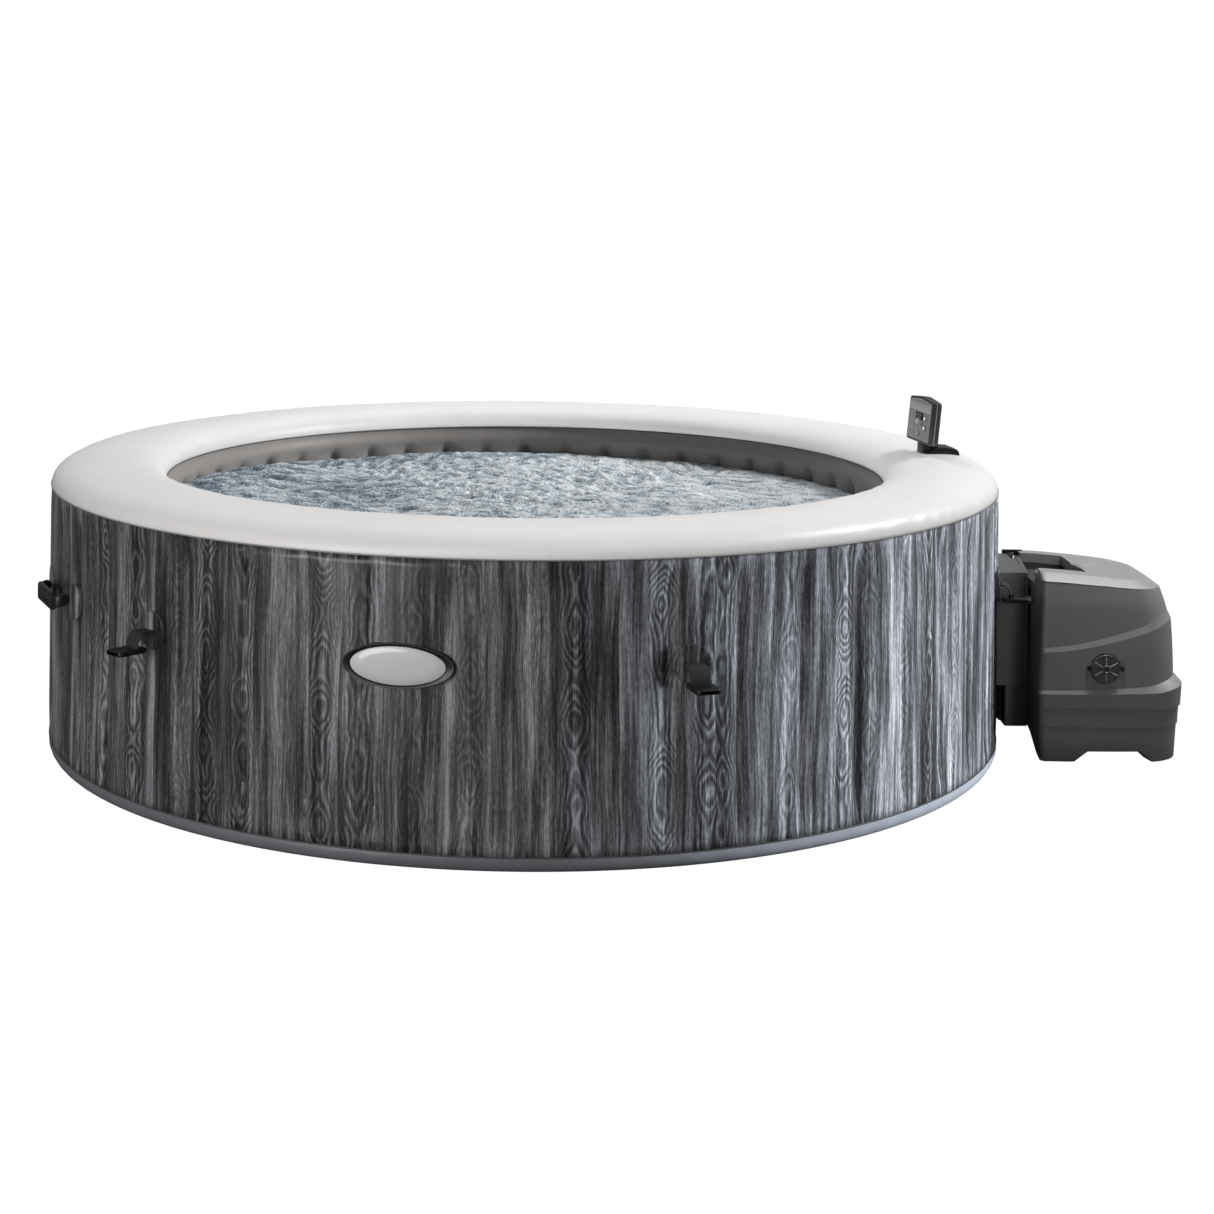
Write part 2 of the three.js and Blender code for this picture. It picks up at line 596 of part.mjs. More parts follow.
// ---------------------------------------------------------------- control panel
function buildPanel() {
  // Local frame: +X out of the panel's face, +Y across it, +Z up; the origin is on the rim's crest.
  const upright = new THREE.Group();
  upright.position.set(PANEL_AT.x, PANEL_AT.y, HEIGHT + GAP);
  upright.rotation.z = THREE.MathUtils.degToRad(PANEL_FACING);
  root.add(upright);
  const standSide = new THREE.Shape([
    new THREE.Vector2(22, 0),
    new THREE.Vector2(12, 26),
    new THREE.Vector2(5, 28),
    new THREE.Vector2(5, PANEL.lift - 2),
    new THREE.Vector2(-31, PANEL.lift - 2),
    new THREE.Vector2(-33, 44),
    new THREE.Vector2(-40, 44),
    new THREE.Vector2(-62, 14),
    new THREE.Vector2(-92, 0),
  ]);
  piece(upright, "panel_stand", sideExtrude(standSide, 64), BLACK_PLASTIC);

  const leaning = new THREE.Group();
  leaning.position.z = PANEL.lift;
  leaning.rotation.y = -THREE.MathUtils.degToRad(PANEL_LEAN);
  upright.add(leaning);
  const half = PANEL.width / 2;
  const front = new THREE.Shape([
    new THREE.Vector2(-half, 4),
    new THREE.Vector2(-half + 6, 1.5),
    new THREE.Vector2(half - 6, 1.5),
    new THREE.Vector2(half, 4),
    new THREE.Vector2(half, PANEL.side),
    new THREE.Vector2(half - 5, PANEL.side + 3),
    new THREE.Vector2(0, PANEL.side + PANEL.peak),
    new THREE.Vector2(-half + 5, PANEL.side + 3),
  ]);
  // Turns an outline drawn as (across, up) into a slab whose front is at x = xFront.
  const slab = (shape, thick, xFront) =>
    new THREE.ExtrudeGeometry(shape, { depth: thick, bevelEnabled: false, curveSegments: 3 })
      .rotateX(Math.PI / 2)
      .rotateZ(Math.PI / 2)
      .translate(xFront - thick, 0, 0);
  piece(leaning, "panel_case", slab(front, PANEL.thick, 0), PANEL_PLASTIC);
  const plate = (y0, y1, z0, z1, r) => new THREE.Shape(roundedRectangle(y0, y1, z0, z1, r, r, 3));
  piece(leaning, "display_lens", slab(plate(-26, 26, 42, 70, 2), 1.2, GAP + 1.2), DISPLAY_LENS);
  const keys = { heat_key: [40, 60], bubble_key: [40, 38], power_key: [0, 22] };
  Object.entries(keys).forEach(([name, [y, z]]) => {
    const cap = slab(plate(y - 9, y + 9, z - 6, z + 6, 3), 2, 1.3 + 2);
    piece(leaning, name, cap, PALE_PLASTIC);
  });
}

buildChamber();
buildPipes();
for (let number = 1; number <= LATCH_COUNT; number++) buildLatch(number);
for (let number = 1; number <= HANDLE_AZIMUTHS.length; number++) buildHandle(number);
buildValves();
buildBadge();
buildPumpCase();
buildPumpInsides();
buildCable();
buildPanel();

export default root;
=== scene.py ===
"""Looks of a round inflatable hot tub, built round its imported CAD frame. Metres, +Z up."""
import json
import math

import bpy
import numpy as np
from mathutils import Matrix, Vector


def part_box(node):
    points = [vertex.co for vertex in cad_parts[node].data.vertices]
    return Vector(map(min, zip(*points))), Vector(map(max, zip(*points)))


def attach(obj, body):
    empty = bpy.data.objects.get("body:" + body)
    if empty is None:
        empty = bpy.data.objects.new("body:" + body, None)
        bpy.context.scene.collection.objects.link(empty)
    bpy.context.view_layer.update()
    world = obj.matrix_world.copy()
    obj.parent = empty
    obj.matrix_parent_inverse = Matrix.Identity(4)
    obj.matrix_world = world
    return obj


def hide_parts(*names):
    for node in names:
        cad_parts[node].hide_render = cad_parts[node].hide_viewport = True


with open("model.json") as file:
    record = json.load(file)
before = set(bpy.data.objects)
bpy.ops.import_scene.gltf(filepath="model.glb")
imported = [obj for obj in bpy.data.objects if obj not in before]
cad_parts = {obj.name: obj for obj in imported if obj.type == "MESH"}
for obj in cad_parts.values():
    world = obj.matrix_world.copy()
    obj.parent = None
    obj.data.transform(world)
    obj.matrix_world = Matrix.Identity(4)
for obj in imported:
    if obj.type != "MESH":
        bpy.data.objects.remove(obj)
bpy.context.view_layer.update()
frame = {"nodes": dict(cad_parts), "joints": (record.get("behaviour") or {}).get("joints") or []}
JOINTS = {joint["name"]: joint for joint in frame["joints"]}
MM = 0.001
TAU = 2 * math.pi
RNG = np.random.default_rng(7)

# Driving dimensions, read from the frame.
OUTER_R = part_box("outer_wall")[1].x
INNER_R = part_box("floor_sheet")[1].x
RIM_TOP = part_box("top_rim")[1].z
SEAM_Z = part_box("top_rim")[0].z
BAND_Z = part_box("outer_wall")[0].z
BEAMS = 48
BEAM_TOP = SEAM_Z - 46 * MM
WATER_Z = 510 * MM
SKIN = 4 * MM


# ---------------------------------------------------------------- node materials
class Graph:
    """A node material under construction. Inputs are sockets, numbers or tuples."""

    def __init__(self, name):
        self.material = bpy.data.materials.new(name)
        self.material.use_nodes = True
        self.nodes = self.material.node_tree.nodes
        self.links = self.material.node_tree.links
        self.shader = self.nodes["Principled BSDF"]

    def put(self, socket, value):
        if isinstance(value, bpy.types.NodeSocket):
            self.links.new(value, socket)
        elif value is not None:
            socket.default_value = value

    def add(self, kind, inputs=None, **settings):
        node = self.nodes.new(kind)
        for key, value in settings.items():
            setattr(node, key, value)
        for key, value in (inputs or {}).items():
            self.put(node.inputs[key], value)
        return node

    def math(self, operation, a, b=None, c=None):
        node = self.add("ShaderNodeMath", operation=operation)
        for socket, value in zip(node.inputs, (a, b, c)):
            self.put(socket, value)
        return node.outputs[0]

    def times(self, a, b, plus=None):
        """a * b, or a * b + plus."""
        return self.math("MULTIPLY" if plus is None else "MULTIPLY_ADD", a, b, plus)

    def minus(self, a, b):
        return self.math("SUBTRACT", a, b)

    def position(self):
        return self.add("ShaderNodeTexCoord").outputs["Object"]

    def uv(self):
        return self.add("ShaderNodeTexCoord").outputs["UV"]

    def split(self, vector):
        return self.add("ShaderNodeSeparateXYZ", {"Vector": vector}).outputs

    def vector(self, x, y, z=0.0):
        return self.add("ShaderNodeCombineXYZ", {"X": x, "Y": y, "Z": z}).outputs[0]

    def noise(self, vector, scale, detail=3.0, roughness=0.55, distortion=0.0):
        inputs = {"Vector": vector, "Scale": scale, "Detail": detail, "Roughness": roughness,
                  "Distortion": distortion}
        return self.add("ShaderNodeTexNoise", inputs).outputs["Fac"]

    def ramp(self, factor, stops):
        """stops: (position, grey) or (position, (r, g, b))."""
        node = self.add("ShaderNodeValToRGB", {"Fac": factor})
        elements = node.color_ramp.elements
        while len(elements) < len(stops):
            elements.new(0.5)
        for element, (place, colour) in zip(elements, stops):
            element.position = place
            rgb = colour if isinstance(colour, tuple) else (colour,) * 3
            element.color = (*rgb, 1.0)
        return node.outputs["Color"]

    def mix(self, factor, a, b):
        node = self.add("ShaderNodeMix", data_type="RGBA")
        self.put(node.inputs["Factor"], factor)
        for key, value in (("A", a), ("B", b)):
            socket = next(s for s in node.inputs if s.name == key and s.type == "RGBA")
            self.put(socket, (*value, 1.0) if isinstance(value, tuple) else value)
        return next(s for s in node.outputs if s.type == "RGBA")

    def bump(self, height, distance, strength=1.0, normal=None):
        inputs = {"Height": height, "Distance": distance, "Strength": strength, "Normal": normal}
        return self.add("ShaderNodeBump", inputs).outputs["Normal"]

    def finish(self, **inputs):
        """Sets the principled shader's inputs: base_color, roughness, normal and so on."""
        for key, value in inputs.items():
            socket = self.shader.inputs[key.replace("_", " ").title().replace("Ior", "IOR")]
            if isinstance(value, tuple) and len(value) == 3:
                value = (*value, 1.0)
            self.put(socket, value)
        return self.material


def vinyl(name, colour, roughness=0.42, mottle=0.05, grain=0.12):
    """Soft PVC sheet: very fine leather grain, faint cloudy mottling and uneven sheen."""
    g = Graph(name)
    where = g.position()
    cloud = g.noise(where, 7.0, 4.0)
    fine = g.noise(where, 900.0, 2.0)
    darker = tuple(c * (1 - mottle) for c in colour)
    lighter = tuple(min(1.0, c * (1 + mottle)) for c in colour)
    base = g.mix(g.ramp(cloud, [(0.3, 0.0), (0.7, 1.0)]), darker, lighter)
    rough = g.times(cloud, 0.12, roughness - 0.06)
    soft = g.bump(g.noise(where, 22.0, 2.0), 1.2 * MM, 0.35)
    normal = g.bump(fine, 0.12 * MM, grain, soft)
    return g.finish(base_color=base, roughness=rough, normal=normal)


def wood_print():
    """Vinyl printed as charcoal planks: stacked cathedral figure, straight grain and pores."""
    g = Graph("wood_print_vinyl")
    x, y, z = g.split(g.position())
    azimuth = g.math("ARCTAN2", x, g.times(y, -1.0))
    around = g.times(azimuth, OUTER_R)
    sway = g.noise(g.vector(g.times(around, 2.5), g.times(z, 2.4)), 1.0, 2.0)
    across = g.times(sway, 0.03, around)

    # Columns of figure, each with its own random numbers, and the offset from a column's middle.
    per_metre = 10.0
    inputs = {"W": across, "Scale": per_metre, "Randomness": 0.9}
    column = g.add("ShaderNodeTexVoronoi", inputs, voronoi_dimensions="1D")
    offset = g.times(g.minus(across, column.outputs["W"]), per_metre)
    away = g.math("ABSOLUTE", offset)
    one, two, three = g.add("ShaderNodeSeparateColor", {"Color": column.outputs["Color"]}).outputs
    seed = g.times(one, 37.0)

    # Growth rings: arches where the height term runs one way, ovals where it turns back.
    inputs = {"W": g.times(z, 6.0, seed), "Scale": 1.0, "Detail": 1.2}
    height = g.add("ShaderNodeTexNoise", inputs, noise_dimensions="1D").outputs["Fac"]
    wobble = g.noise(g.vector(g.times(across, 34.0), g.times(z, 11.0), seed), 1.0)
    rings = g.times(g.math("POWER", away, 1.5), 15.0, g.times(height, 9.0))
    phase = g.math("FRACT", g.times(wobble, 2.2, rings))
    figure = g.ramp(phase, [(0.0, 0.45), (0.28, 0.0), (0.50, 0.45), (0.66, 1.0), (0.90, 0.60), (1.0, 0.45)])
    near = g.ramp(away, [(0.17, 1.0), (0.34, 0.15)])
    near = g.times(near, g.ramp(two, [(0.15, 0.25), (0.55, 1.0)]))

    # Fibres: streaks of four widths, the finest being short dark pores.
    def streak(width, length, detail=2.0):
        stretched = g.vector(g.math("DIVIDE", across, width), g.math("DIVIDE", z, length), seed)
        return g.minus(g.noise(stretched, 1.0, detail), 0.5)

    value = g.times(three, 0.22, 0.43)
    value = g.times(g.minus(figure, 0.74), g.times(near, 0.44), value)
    value = g.times(streak(0.026, 0.50), 1.45, value)
    value = g.times(streak(0.0070, 0.22), 0.85, value)
    value = g.times(streak(0.0024, 0.09, 3.0), 0.95, value)
    value = g.times(streak(0.0012, 0.012, 2.0), 0.85, value)

    # Painted highlight: thin pale lines, broken up by noise, along the creases over the inner beams, where
    # the folds catch the light.
    turn = g.math("FRACT", g.times(azimuth, BEAMS / TAU, 0.5))
    beside = g.math("ABSOLUTE", g.minus(turn, 0.5))
    crease = g.ramp(beside, [(0.0, 1.0), (0.022, 0.0)])
    broken = g.noise(g.vector(g.times(azimuth, 9.0), g.times(z, 3.0)), 1.0, 2.0)
    painted_fold_highlight = g.times(crease, g.ramp(broken, [(0.46, 0.0), (0.62, 0.30)]))
    value = g.math("ADD", value, painted_fold_highlight)
    greys = [(0.0, (0.010, 0.009, 0.010)), (0.26, (0.030, 0.029, 0.031)), (0.50, (0.086, 0.086, 0.092)),
             (0.74, (0.20, 0.202, 0.216)), (1.0, (0.42, 0.424, 0.445))]
    colour = g.ramp(value, greys)
    rough = g.times(broken, 0.14, 0.27)
    return g.finish(base_color=colour, roughness=rough, normal=g.bump(value, 0.12 * MM, 0.3))


def webbing():
    """Black woven tape: ribs across the strap, laid in its own UV map, in metres."""
    g = Graph("black_webbing")
    u, v, _ = g.split(g.uv())
    across = g.math("SINE", g.times(u, TAU / (1.6 * MM)))
    along = g.math("SINE", g.times(v, TAU / (1.1 * MM)))
    weave = g.times(g.times(across, along), 0.5, 0.5)
    fuzz = g.noise(g.position(), 700.0, 3.0)
    base = g.mix(g.times(weave, fuzz), (0.008, 0.008, 0.009), (0.100, 0.101, 0.106))
    return g.finish(base_color=base, roughness=0.78, normal=g.bump(weave, 0.35 * MM, 0.8))


def moulded(name, colour, roughness=0.4, speckle=0.25, grain=0.25, scale=1200.0):
    """Injection-moulded plastic: spark-eroded grain, slight colour speckle and handling marks."""
    g = Graph(name)
    where = g.position()
    fine = g.noise(where, scale, 2.0)
    smudge = g.noise(where, 9.0, 5.0, 0.6)
    low = tuple(c * (1 - speckle) for c in colour)
    high = tuple(min(1.0, c * (1 + speckle)) for c in colour)
    base = g.mix(g.times(fine, 0.5, g.times(smudge, 0.5)), low, high)
    rough = g.times(smudge, 0.22, roughness - 0.11)
    return g.finish(base_color=base, roughness=rough, normal=g.bump(fine, 0.1 * MM, grain))


def brushed(name, colour):
    """Steel with fine lines along X."""
    g = Graph(name)
    x, y, z = g.split(g.position())
    stretched = g.vector(g.times(x, 12.0), g.times(y, 900.0), g.times(z, 900.0))
    lines = g.noise(stretched, 1.0, 3.0)
    rough = g.times(lines, 0.2, 0.22)
    return g.finish(base_color=colour, metallic=0.95, roughness=rough, normal=g.bump(lines, 0.05 * MM, 0.3))


def enamel():
    """The badge's field: pale grey, with a painted sheen that makes it lighter at the top and darker
    towards the bottom.
    """
    g = Graph("badge_field")
    _, _, z = g.split(g.position())
    low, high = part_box("oval_badge")
    height = g.math("DIVIDE", g.minus(z, low.z), high.z - low.z)
    # Painted sheen: the field's colour grows lighter towards the top.
    base = g.ramp(height, [(0.1, (0.72, 0.72, 0.72)), (0.9, (0.86, 0.86, 0.86))])
    return g.finish(base_color=base, roughness=0.3, coat_weight=0.4, coat_roughness=0.1,
                    normal=g.bump(g.noise(g.position(), 600.0), 0.05 * MM, 0.2))


def smoked_glass():
    """Near-black glass with a faint haze."""
    g = Graph("display_glass")
    haze = g.noise(g.position(), 60.0, 4.0)
    return g.finish(base_color=(0.006, 0.007, 0.008), roughness=g.times(haze, 0.1, 0.05),
                    coat_weight=1.0)


def lit_segment(name, colour, strength):
    """A plastic that glows a little unevenly."""
    g = Graph(name)
    glow = g.noise(g.position(), 400.0, 1.0)
    shade = g.mix(glow, tuple(c * 0.8 for c in colour), colour)
    return g.finish(base_color=shade, emission_color=shade, emission_strength=strength, roughness=0.4)


def churned_water():
    """Slate-blue water broken into fine white flecks along ridges of turbulence."""
    g = Graph("churned_water")
    x, y, z = g.split(g.position())
    where = g.vector(x, g.times(y, 0.6), z)
    foam = g.add("ShaderNodeAttribute", attribute_name="foam").outputs["Fac"]

    def ridges(scale, distortion):
        level = g.noise(where, scale, 3.0, 0.6, distortion)
        away = g.math("ABSOLUTE", g.minus(level, 0.5))
        return g.ramp(away, [(0.0, 1.0), (0.07, 0.0)])

    broad = g.noise(where, 6.0, 3.0)
    side = g.ramp(g.times(x, 0.5, 0.5), [(0.1, 0.0), (0.62, 1.0)])
    white = g.times(foam, 0.30, -0.51)
    white = g.times(ridges(110.0, 1.2), 0.20, white)
    white = g.times(ridges(260.0, 0.8), 0.30, white)
    white = g.times(g.noise(where, 420.0, 2.0), 0.95, white)
    white = g.times(broad, 0.45, white)
    white = g.times(side, 0.23, white)
    blues = [(0.12, (0.040, 0.070, 0.100)), (0.40, (0.105, 0.160, 0.210)), (0.58, (0.23, 0.315, 0.385)),
             (0.72, (0.88, 0.92, 0.95))]
    colour = g.ramp(white, blues)
    rough = g.ramp(white, [(0.3, 0.10), (0.8, 0.5)])
    normal = g.bump(white, 2.2 * MM, 0.6)
    return g.finish(base_color=colour, roughness=rough, normal=normal, ior=1.33)


RIM_VINYL = vinyl("rim_vinyl", (0.74, 0.72, 0.705), 0.40, 0.015, 0.10)
LINER_VINYL = vinyl("liner_vinyl", (0.31, 0.286, 0.268), 0.42, 0.05, 0.15)
BAND_VINYL = vinyl("band_vinyl", (0.19, 0.195, 0.215), 0.42, 0.06, 0.15)
# Dark vinyl for the welded seams, also used as painted shade on the patches' edges.
SEAM_AND_SHADE_VINYL = vinyl("seam_vinyl", (0.10, 0.095, 0.09), 0.5, 0.1, 0.2)
WELT_VINYL = vinyl("welt_vinyl", (0.34, 0.335, 0.33), 0.35, 0.01, 0.1)
WOOD = wood_print()
WEBBING = webbing()
BLACK = moulded("black_plastic", (0.010, 0.010, 0.011), 0.38, 0.3, 0.2)
CASE = moulded("case_plastic", (0.135, 0.130, 0.127), 0.42, 0.08, 0.45, 900.0)
KNOB = moulded("knob_plastic", (0.040, 0.040, 0.041), 0.34, 0.2, 0.2)
# Near-black painted shade: the tray in the lid, its lip, the ring round the knob, the hatch groove and the
# seam beside the neck are coloured with it in place of the shade that falls in them.
RECESS_SHADE = moulded("case_recess", (0.018, 0.018, 0.019), 0.5, 0.2, 0.4)
PANEL = moulded("panel_plastic", (0.27, 0.27, 0.28), 0.42, 0.12, 0.3)
PANEL_SIDE = moulded("panel_side", (0.050, 0.050, 0.053), 0.45, 0.2, 0.3)
PANEL_TRIM = moulded("panel_trim", (0.55, 0.55, 0.56), 0.35, 0.05, 0.1)
PANEL_LIGHT = moulded("panel_header", (0.44, 0.44, 0.45), 0.4, 0.12, 0.2)
RUBBER = moulded("cable_rubber", (0.012, 0.012, 0.013), 0.6, 0.3, 0.3)
BOARD = moulded("circuit_board", (0.03, 0.10, 0.06), 0.5, 0.3, 0.2)
PALE = moulded("pale_plastic", (0.62, 0.63, 0.64), 0.4, 0.05, 0.1)
PAPER = moulded("filter_paper", (0.72, 0.76, 0.78), 0.9, 0.08, 0.8, 500.0)
FABRIC = moulded("web_fabric", (0.66, 0.66, 0.63), 0.8, 0.1, 0.8, 400.0)
STEEL = brushed("brushed_steel", (0.55, 0.56, 0.58))
ENAMEL = enamel()
GLASS = smoked_glass()
LIGHT = lit_segment("status_light", (0.80, 0.83, 0.85), 0.9)
SEGMENT = lit_segment("display_light", (0.36, 0.38, 0.39), 0.1)
WATER = churned_water()


# ---------------------------------------------------------------- mesh tools
def smooth_noise(count, cycles, octaves=2):
    """A seeded periodic random curve through `count` samples, about -1 to 1."""
    t = np.arange(count) / count * TAU
    total = np.zeros(count)
    for octave in range(octaves):
        for _ in range(6):
            n = max(1, int(cycles * 2**octave * RNG.uniform(0.6, 1.4)))
            total += RNG.normal() * np.cos(n * t + RNG.uniform(0, TAU)) / (octave + 1)
    return total / np.abs(total).max()


def turn_outwards(mesh):
    """Makes a closed mesh's faces point out, by the sign of its volume."""
    mesh.calc_loop_triangles()
    points = np.empty(len(mesh.vertices) * 3)
    mesh.vertices.foreach_get("co", points)
    points = points.reshape(-1, 3) - points.reshape(-1, 3).mean(axis=0)
    corners = np.empty(len(mesh.loop_triangles) * 3, dtype=np.int32)
    mesh.loop_triangles.foreach_get("vertices", corners)
    a, b, c = points[corners.reshape(-1, 3).T]
    if np.einsum("ij,ij->i", a, np.cross(b, c)).sum() < 0:
        mesh.flip_normals()


def add_mesh(name, points, faces, material, body="root", uv=None, smooth=True):
    """A closed mesh from points (n, 3) and faces as lists of indices, riding on a CAD body."""
    mesh = bpy.data.meshes.new(name)
    mesh.from_pydata([tuple(p) for p in points], [], [tuple(f) for f in faces])
    mesh.validate()
    if uv is not None:
        layer = mesh.uv_layers.new(name="UVMap")
        corner = np.empty(len(mesh.loops), dtype=np.int32)
        mesh.loops.foreach_get("vertex_index", corner)
        layer.data.foreach_set("uv", np.asarray(uv, dtype=np.float32)[corner].ravel())
    if smooth:
        mesh.shade_smooth()
    turn_outwards(mesh)
    mesh.materials.append(material)
    made = bpy.data.objects.new(name, mesh)
    bpy.context.scene.collection.objects.link(made)
    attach(made, body)
    return made


def grid_faces(rows, cols, wrap_rows=False, wrap_cols=False):
    """Quads through a rows x cols array of points, facing out for rows going up outside."""
    i = np.arange(rows if wrap_rows else rows - 1)
    j = np.arange(cols if wrap_cols else cols - 1)
    i, j = (a.ravel() for a in np.meshgrid(i, j, indexing="ij"))
    down, right = (i + 1) % rows, (j + 1) % cols
    return np.stack([i * cols + j, i * cols + right, down * cols + right, down * cols + j], axis=1)


def ring(name, r, z, material):
    """A closed loop of (r, z) turned round Z; both arrays are (loop, around)."""
    azimuth = np.arange(r.shape[1]) / r.shape[1] * TAU
    return loop_rows(name, np.stack([r * np.cos(azimuth), r * np.sin(azimuth), z], axis=-1), material)


def loop_rows(name, points, material):
    """Rows of closed outlines, stacked, with the last row joined back to the first."""
    faces = grid_faces(*points.shape[:2], True, True)
    return add_mesh(name, points.reshape(-1, 3), faces.tolist(), material)


def capped(name, points, material, body="root", uv=None, smooth=True):
    """Rows of closed outlines, stacked, with the first and last rows filled in."""
    rows, cols, _ = points.shape
    faces = grid_faces(rows, cols, False, True).tolist()
    faces.append(list(range(cols))[::-1])
    faces.append(list(range((rows - 1) * cols, rows * cols)))
    return add_mesh(name, points.reshape(-1, 3), faces, material, body, uv, smooth)


def sheet(name, outer, inner, material):
    """A closed solid between two matching grids of points, each (rows, columns, 3)."""
    rows, cols, _ = outer.shape
    count = rows * cols
    faces = grid_faces(rows, cols)
    border = np.concatenate([
        np.arange(cols), np.arange(2, rows + 1) * cols - 1,
        (rows - 1) * cols + np.arange(cols - 2, -1, -1), np.arange(rows - 2, 0, -1) * cols,
    ])
    after = np.roll(border, -1)
    side = np.stack([after, border, border + count, after + count], axis=1)
    every = np.concatenate([faces, faces[:, ::-1] + count, side])
    points = np.concatenate([outer.reshape(-1, 3), inner.reshape(-1, 3)])
    return add_mesh(name, points, every.tolist(), material)


def lathe(name, profile, material, place):
    """A profile of (radius, height) in millimetres, from axis to axis, turned and set in place."""
    turn = circle(48)
    rows = np.array([[(r * math.cos(a), r * math.sin(a), h) for a in turn] for r, h in profile])
    made = capped(name, rows * MM, material)
    made.data.transform(place)
    return made


def rounded_outline(x0, x1, y0, y1, corner, steps=6):
    """A rectangle with rounded corners, anticlockwise."""
    points = []
    for cx, cy, start in ((x0 + corner, y0 + corner, 180), (x1 - corner, y0 + corner, 270),
                          (x1 - corner, y1 - corner, 0), (x0 + corner, y1 - corner, 90)):
        for k in range(steps + 1):
            a = math.radians(start + 90 * k / steps)
            points.append((cx + corner * math.cos(a), cy + corner * math.sin(a)))
    return np.array(points)


def block(name, x, y, z, corner, edge, material, place=None, body="root", steps=6):
    """A slab in millimetres, with rounded corners in plan and rounded edges above and below."""
    levels = []
    for k in range(3, -1, -1):
        a = math.pi / 2 * k / 3
        levels.append((z[0] + edge * (1 - math.sin(a)), edge * (1 - math.cos(a))))
    levels += [(z[1] + z[0] - height, inset) for height, inset in reversed(levels)]
    rows = []
    for height, inset in levels:
        x0, x1, y0, y1 = x[0] + inset, x[1] - inset, y[0] + inset, y[1] - inset
        outline = rounded_outline(x0, x1, y0, y1, max(corner - inset, 0.1), steps)
        rows.append(np.column_stack([outline, np.full(len(outline), height)]))
    made = capped(name, np.array(rows) * MM, material, body)
    if place is not None:
        made.data.transform(place)
    return made


def apply_modifiers(made):
    """Swaps an object's mesh for the one its modifiers make."""
    depsgraph = bpy.context.evaluated_depsgraph_get()
    fresh = bpy.data.meshes.new_from_object(made.evaluated_get(depsgraph))
    old = made.data
    made.modifiers.clear()
    made.data = fresh
    bpy.data.meshes.remove(old)


def carve(made, *cutters):
    """Cuts the cutters out of a piece and deletes them."""
    for cutter in cutters:
        modifier = made.modifiers.new("carve", "BOOLEAN")
        modifier.operation = "DIFFERENCE"
        modifier.solver = "EXACT"
        modifier.object = cutter
    apply_modifiers(made)
    for cutter in cutters:
        bpy.data.objects.remove(cutter)
    sharpen(made)
    return made


def sharpen(made, angle=32):
    """Smooth shading, apart from edges sharper than the angle."""
    made.data.shade_smooth()
    made.data.set_sharp_from_angle(angle=math.radians(angle))


def merge(name, pieces):
    """Joins pieces that share a body into one object."""
    bpy.ops.object.select_all(action="DESELECT")
    for one in pieces:
        one.select_set(True)
    bpy.context.view_layer.objects.active = pieces[0]
    bpy.ops.object.join()
    pieces[0].name = name
    return pieces[0]


def stand_in(made, node):
    """Hides a CAD node, so that the piece built in its place is what shows."""
    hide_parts(node)


def circle(count):
    """Angles evenly round a circle."""
    return np.arange(count) / count * TAU


def middle_of(node):
    """The middle of a CAD node's box."""
    low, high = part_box(node)
    return (low + high) / 2


def path_sides(path):
    """Unit normals, to the left of each point of a path in a plane."""
    ahead = np.gradient(path, axis=0)
    ahead /= np.linalg.norm(ahead, axis=1)[:, None]
    return np.column_stack([-ahead[:, 1], ahead[:, 0]])


def path_lengths(path):
    """Distance along a path at each of its points."""
    return np.concatenate([[0], np.cumsum(np.linalg.norm(np.diff(path, axis=0), axis=1))])


def basis(origin, x_axis, z_axis=(0, 0, 1)):
    """A matrix whose X runs along x_axis and whose Z is as near z_axis as it can be."""
    x = Vector(x_axis).normalized()
    y = Vector(z_axis).cross(x).normalized()
    z = x.cross(y)
    turn = Matrix((x, y, z)).transposed().to_4x4()
    return Matrix.Translation(origin) @ turn


def wall_place(azimuth, z, radius=OUTER_R):
    """A frame on the outer wall: X out, Y round to the left, Z up."""
    out = Vector((math.cos(azimuth), math.sin(azimuth), 0))
    return basis(out * radius + Vector((0, 0, z)), out)


def on_wall(azimuth, along, up, out, z):
    """Points that follow the wall's curve: arrays of arc length and height, and a distance out."""
    angle = azimuth + along / OUTER_R
    r = OUTER_R + out
    return np.stack([r * np.cos(angle), r * np.sin(angle), z + up], axis=-1)


# ---------------------------------------------------------------- air chamber
def beam_offset(cols):
    """Distance round the wall from the nearest beam, 0 on the beam and 1 halfway between."""
    turn = np.arange(cols) / cols * BEAMS
    return np.abs(2 * (turn - np.round(turn)))


def fade(values, start, end):
    """0 at start, 1 at end, smooth in between."""
    t = np.clip((values - start) / (end - start), 0, 1)
    return t * t * (3 - 2 * t)


def build_outer_wall():
    """The printed wall: a fold at each beam, ripples under the upper seam, held flat at both ends."""
    cols = BEAMS * 18
    z = np.concatenate([np.linspace(BAND_Z, SEAM_Z, 34), np.linspace(SEAM_Z, BAND_Z, 5)])[:, None]
    inside = np.concatenate([np.zeros(34), np.full(5, SKIN)])[:, None]
    away = beam_offset(cols)
    pull = (5.5 * np.exp(-((away / 0.12) ** 2)) + 6.5 * (1 - np.sin(away * math.pi / 2))) * MM
    pull = pull * (1 + 0.35 * smooth_noise(cols, 24))
    held = fade(z, BAND_Z, BAND_Z + 0.07) * fade(z, SEAM_Z, SEAM_Z - 0.06)
    ripple = 1.2 * MM * smooth_noise(cols, 60) * fade(z, SEAM_Z - 0.16, SEAM_Z - 0.02)
    ripple = ripple * fade(z, SEAM_Z, SEAM_Z - 0.03)
    r = OUTER_R + 1.5 * MM * held - pull * held + ripple - inside
    stand_in(ring("wood_wall", r, np.broadcast_to(z, r.shape), WOOD), "outer_wall")


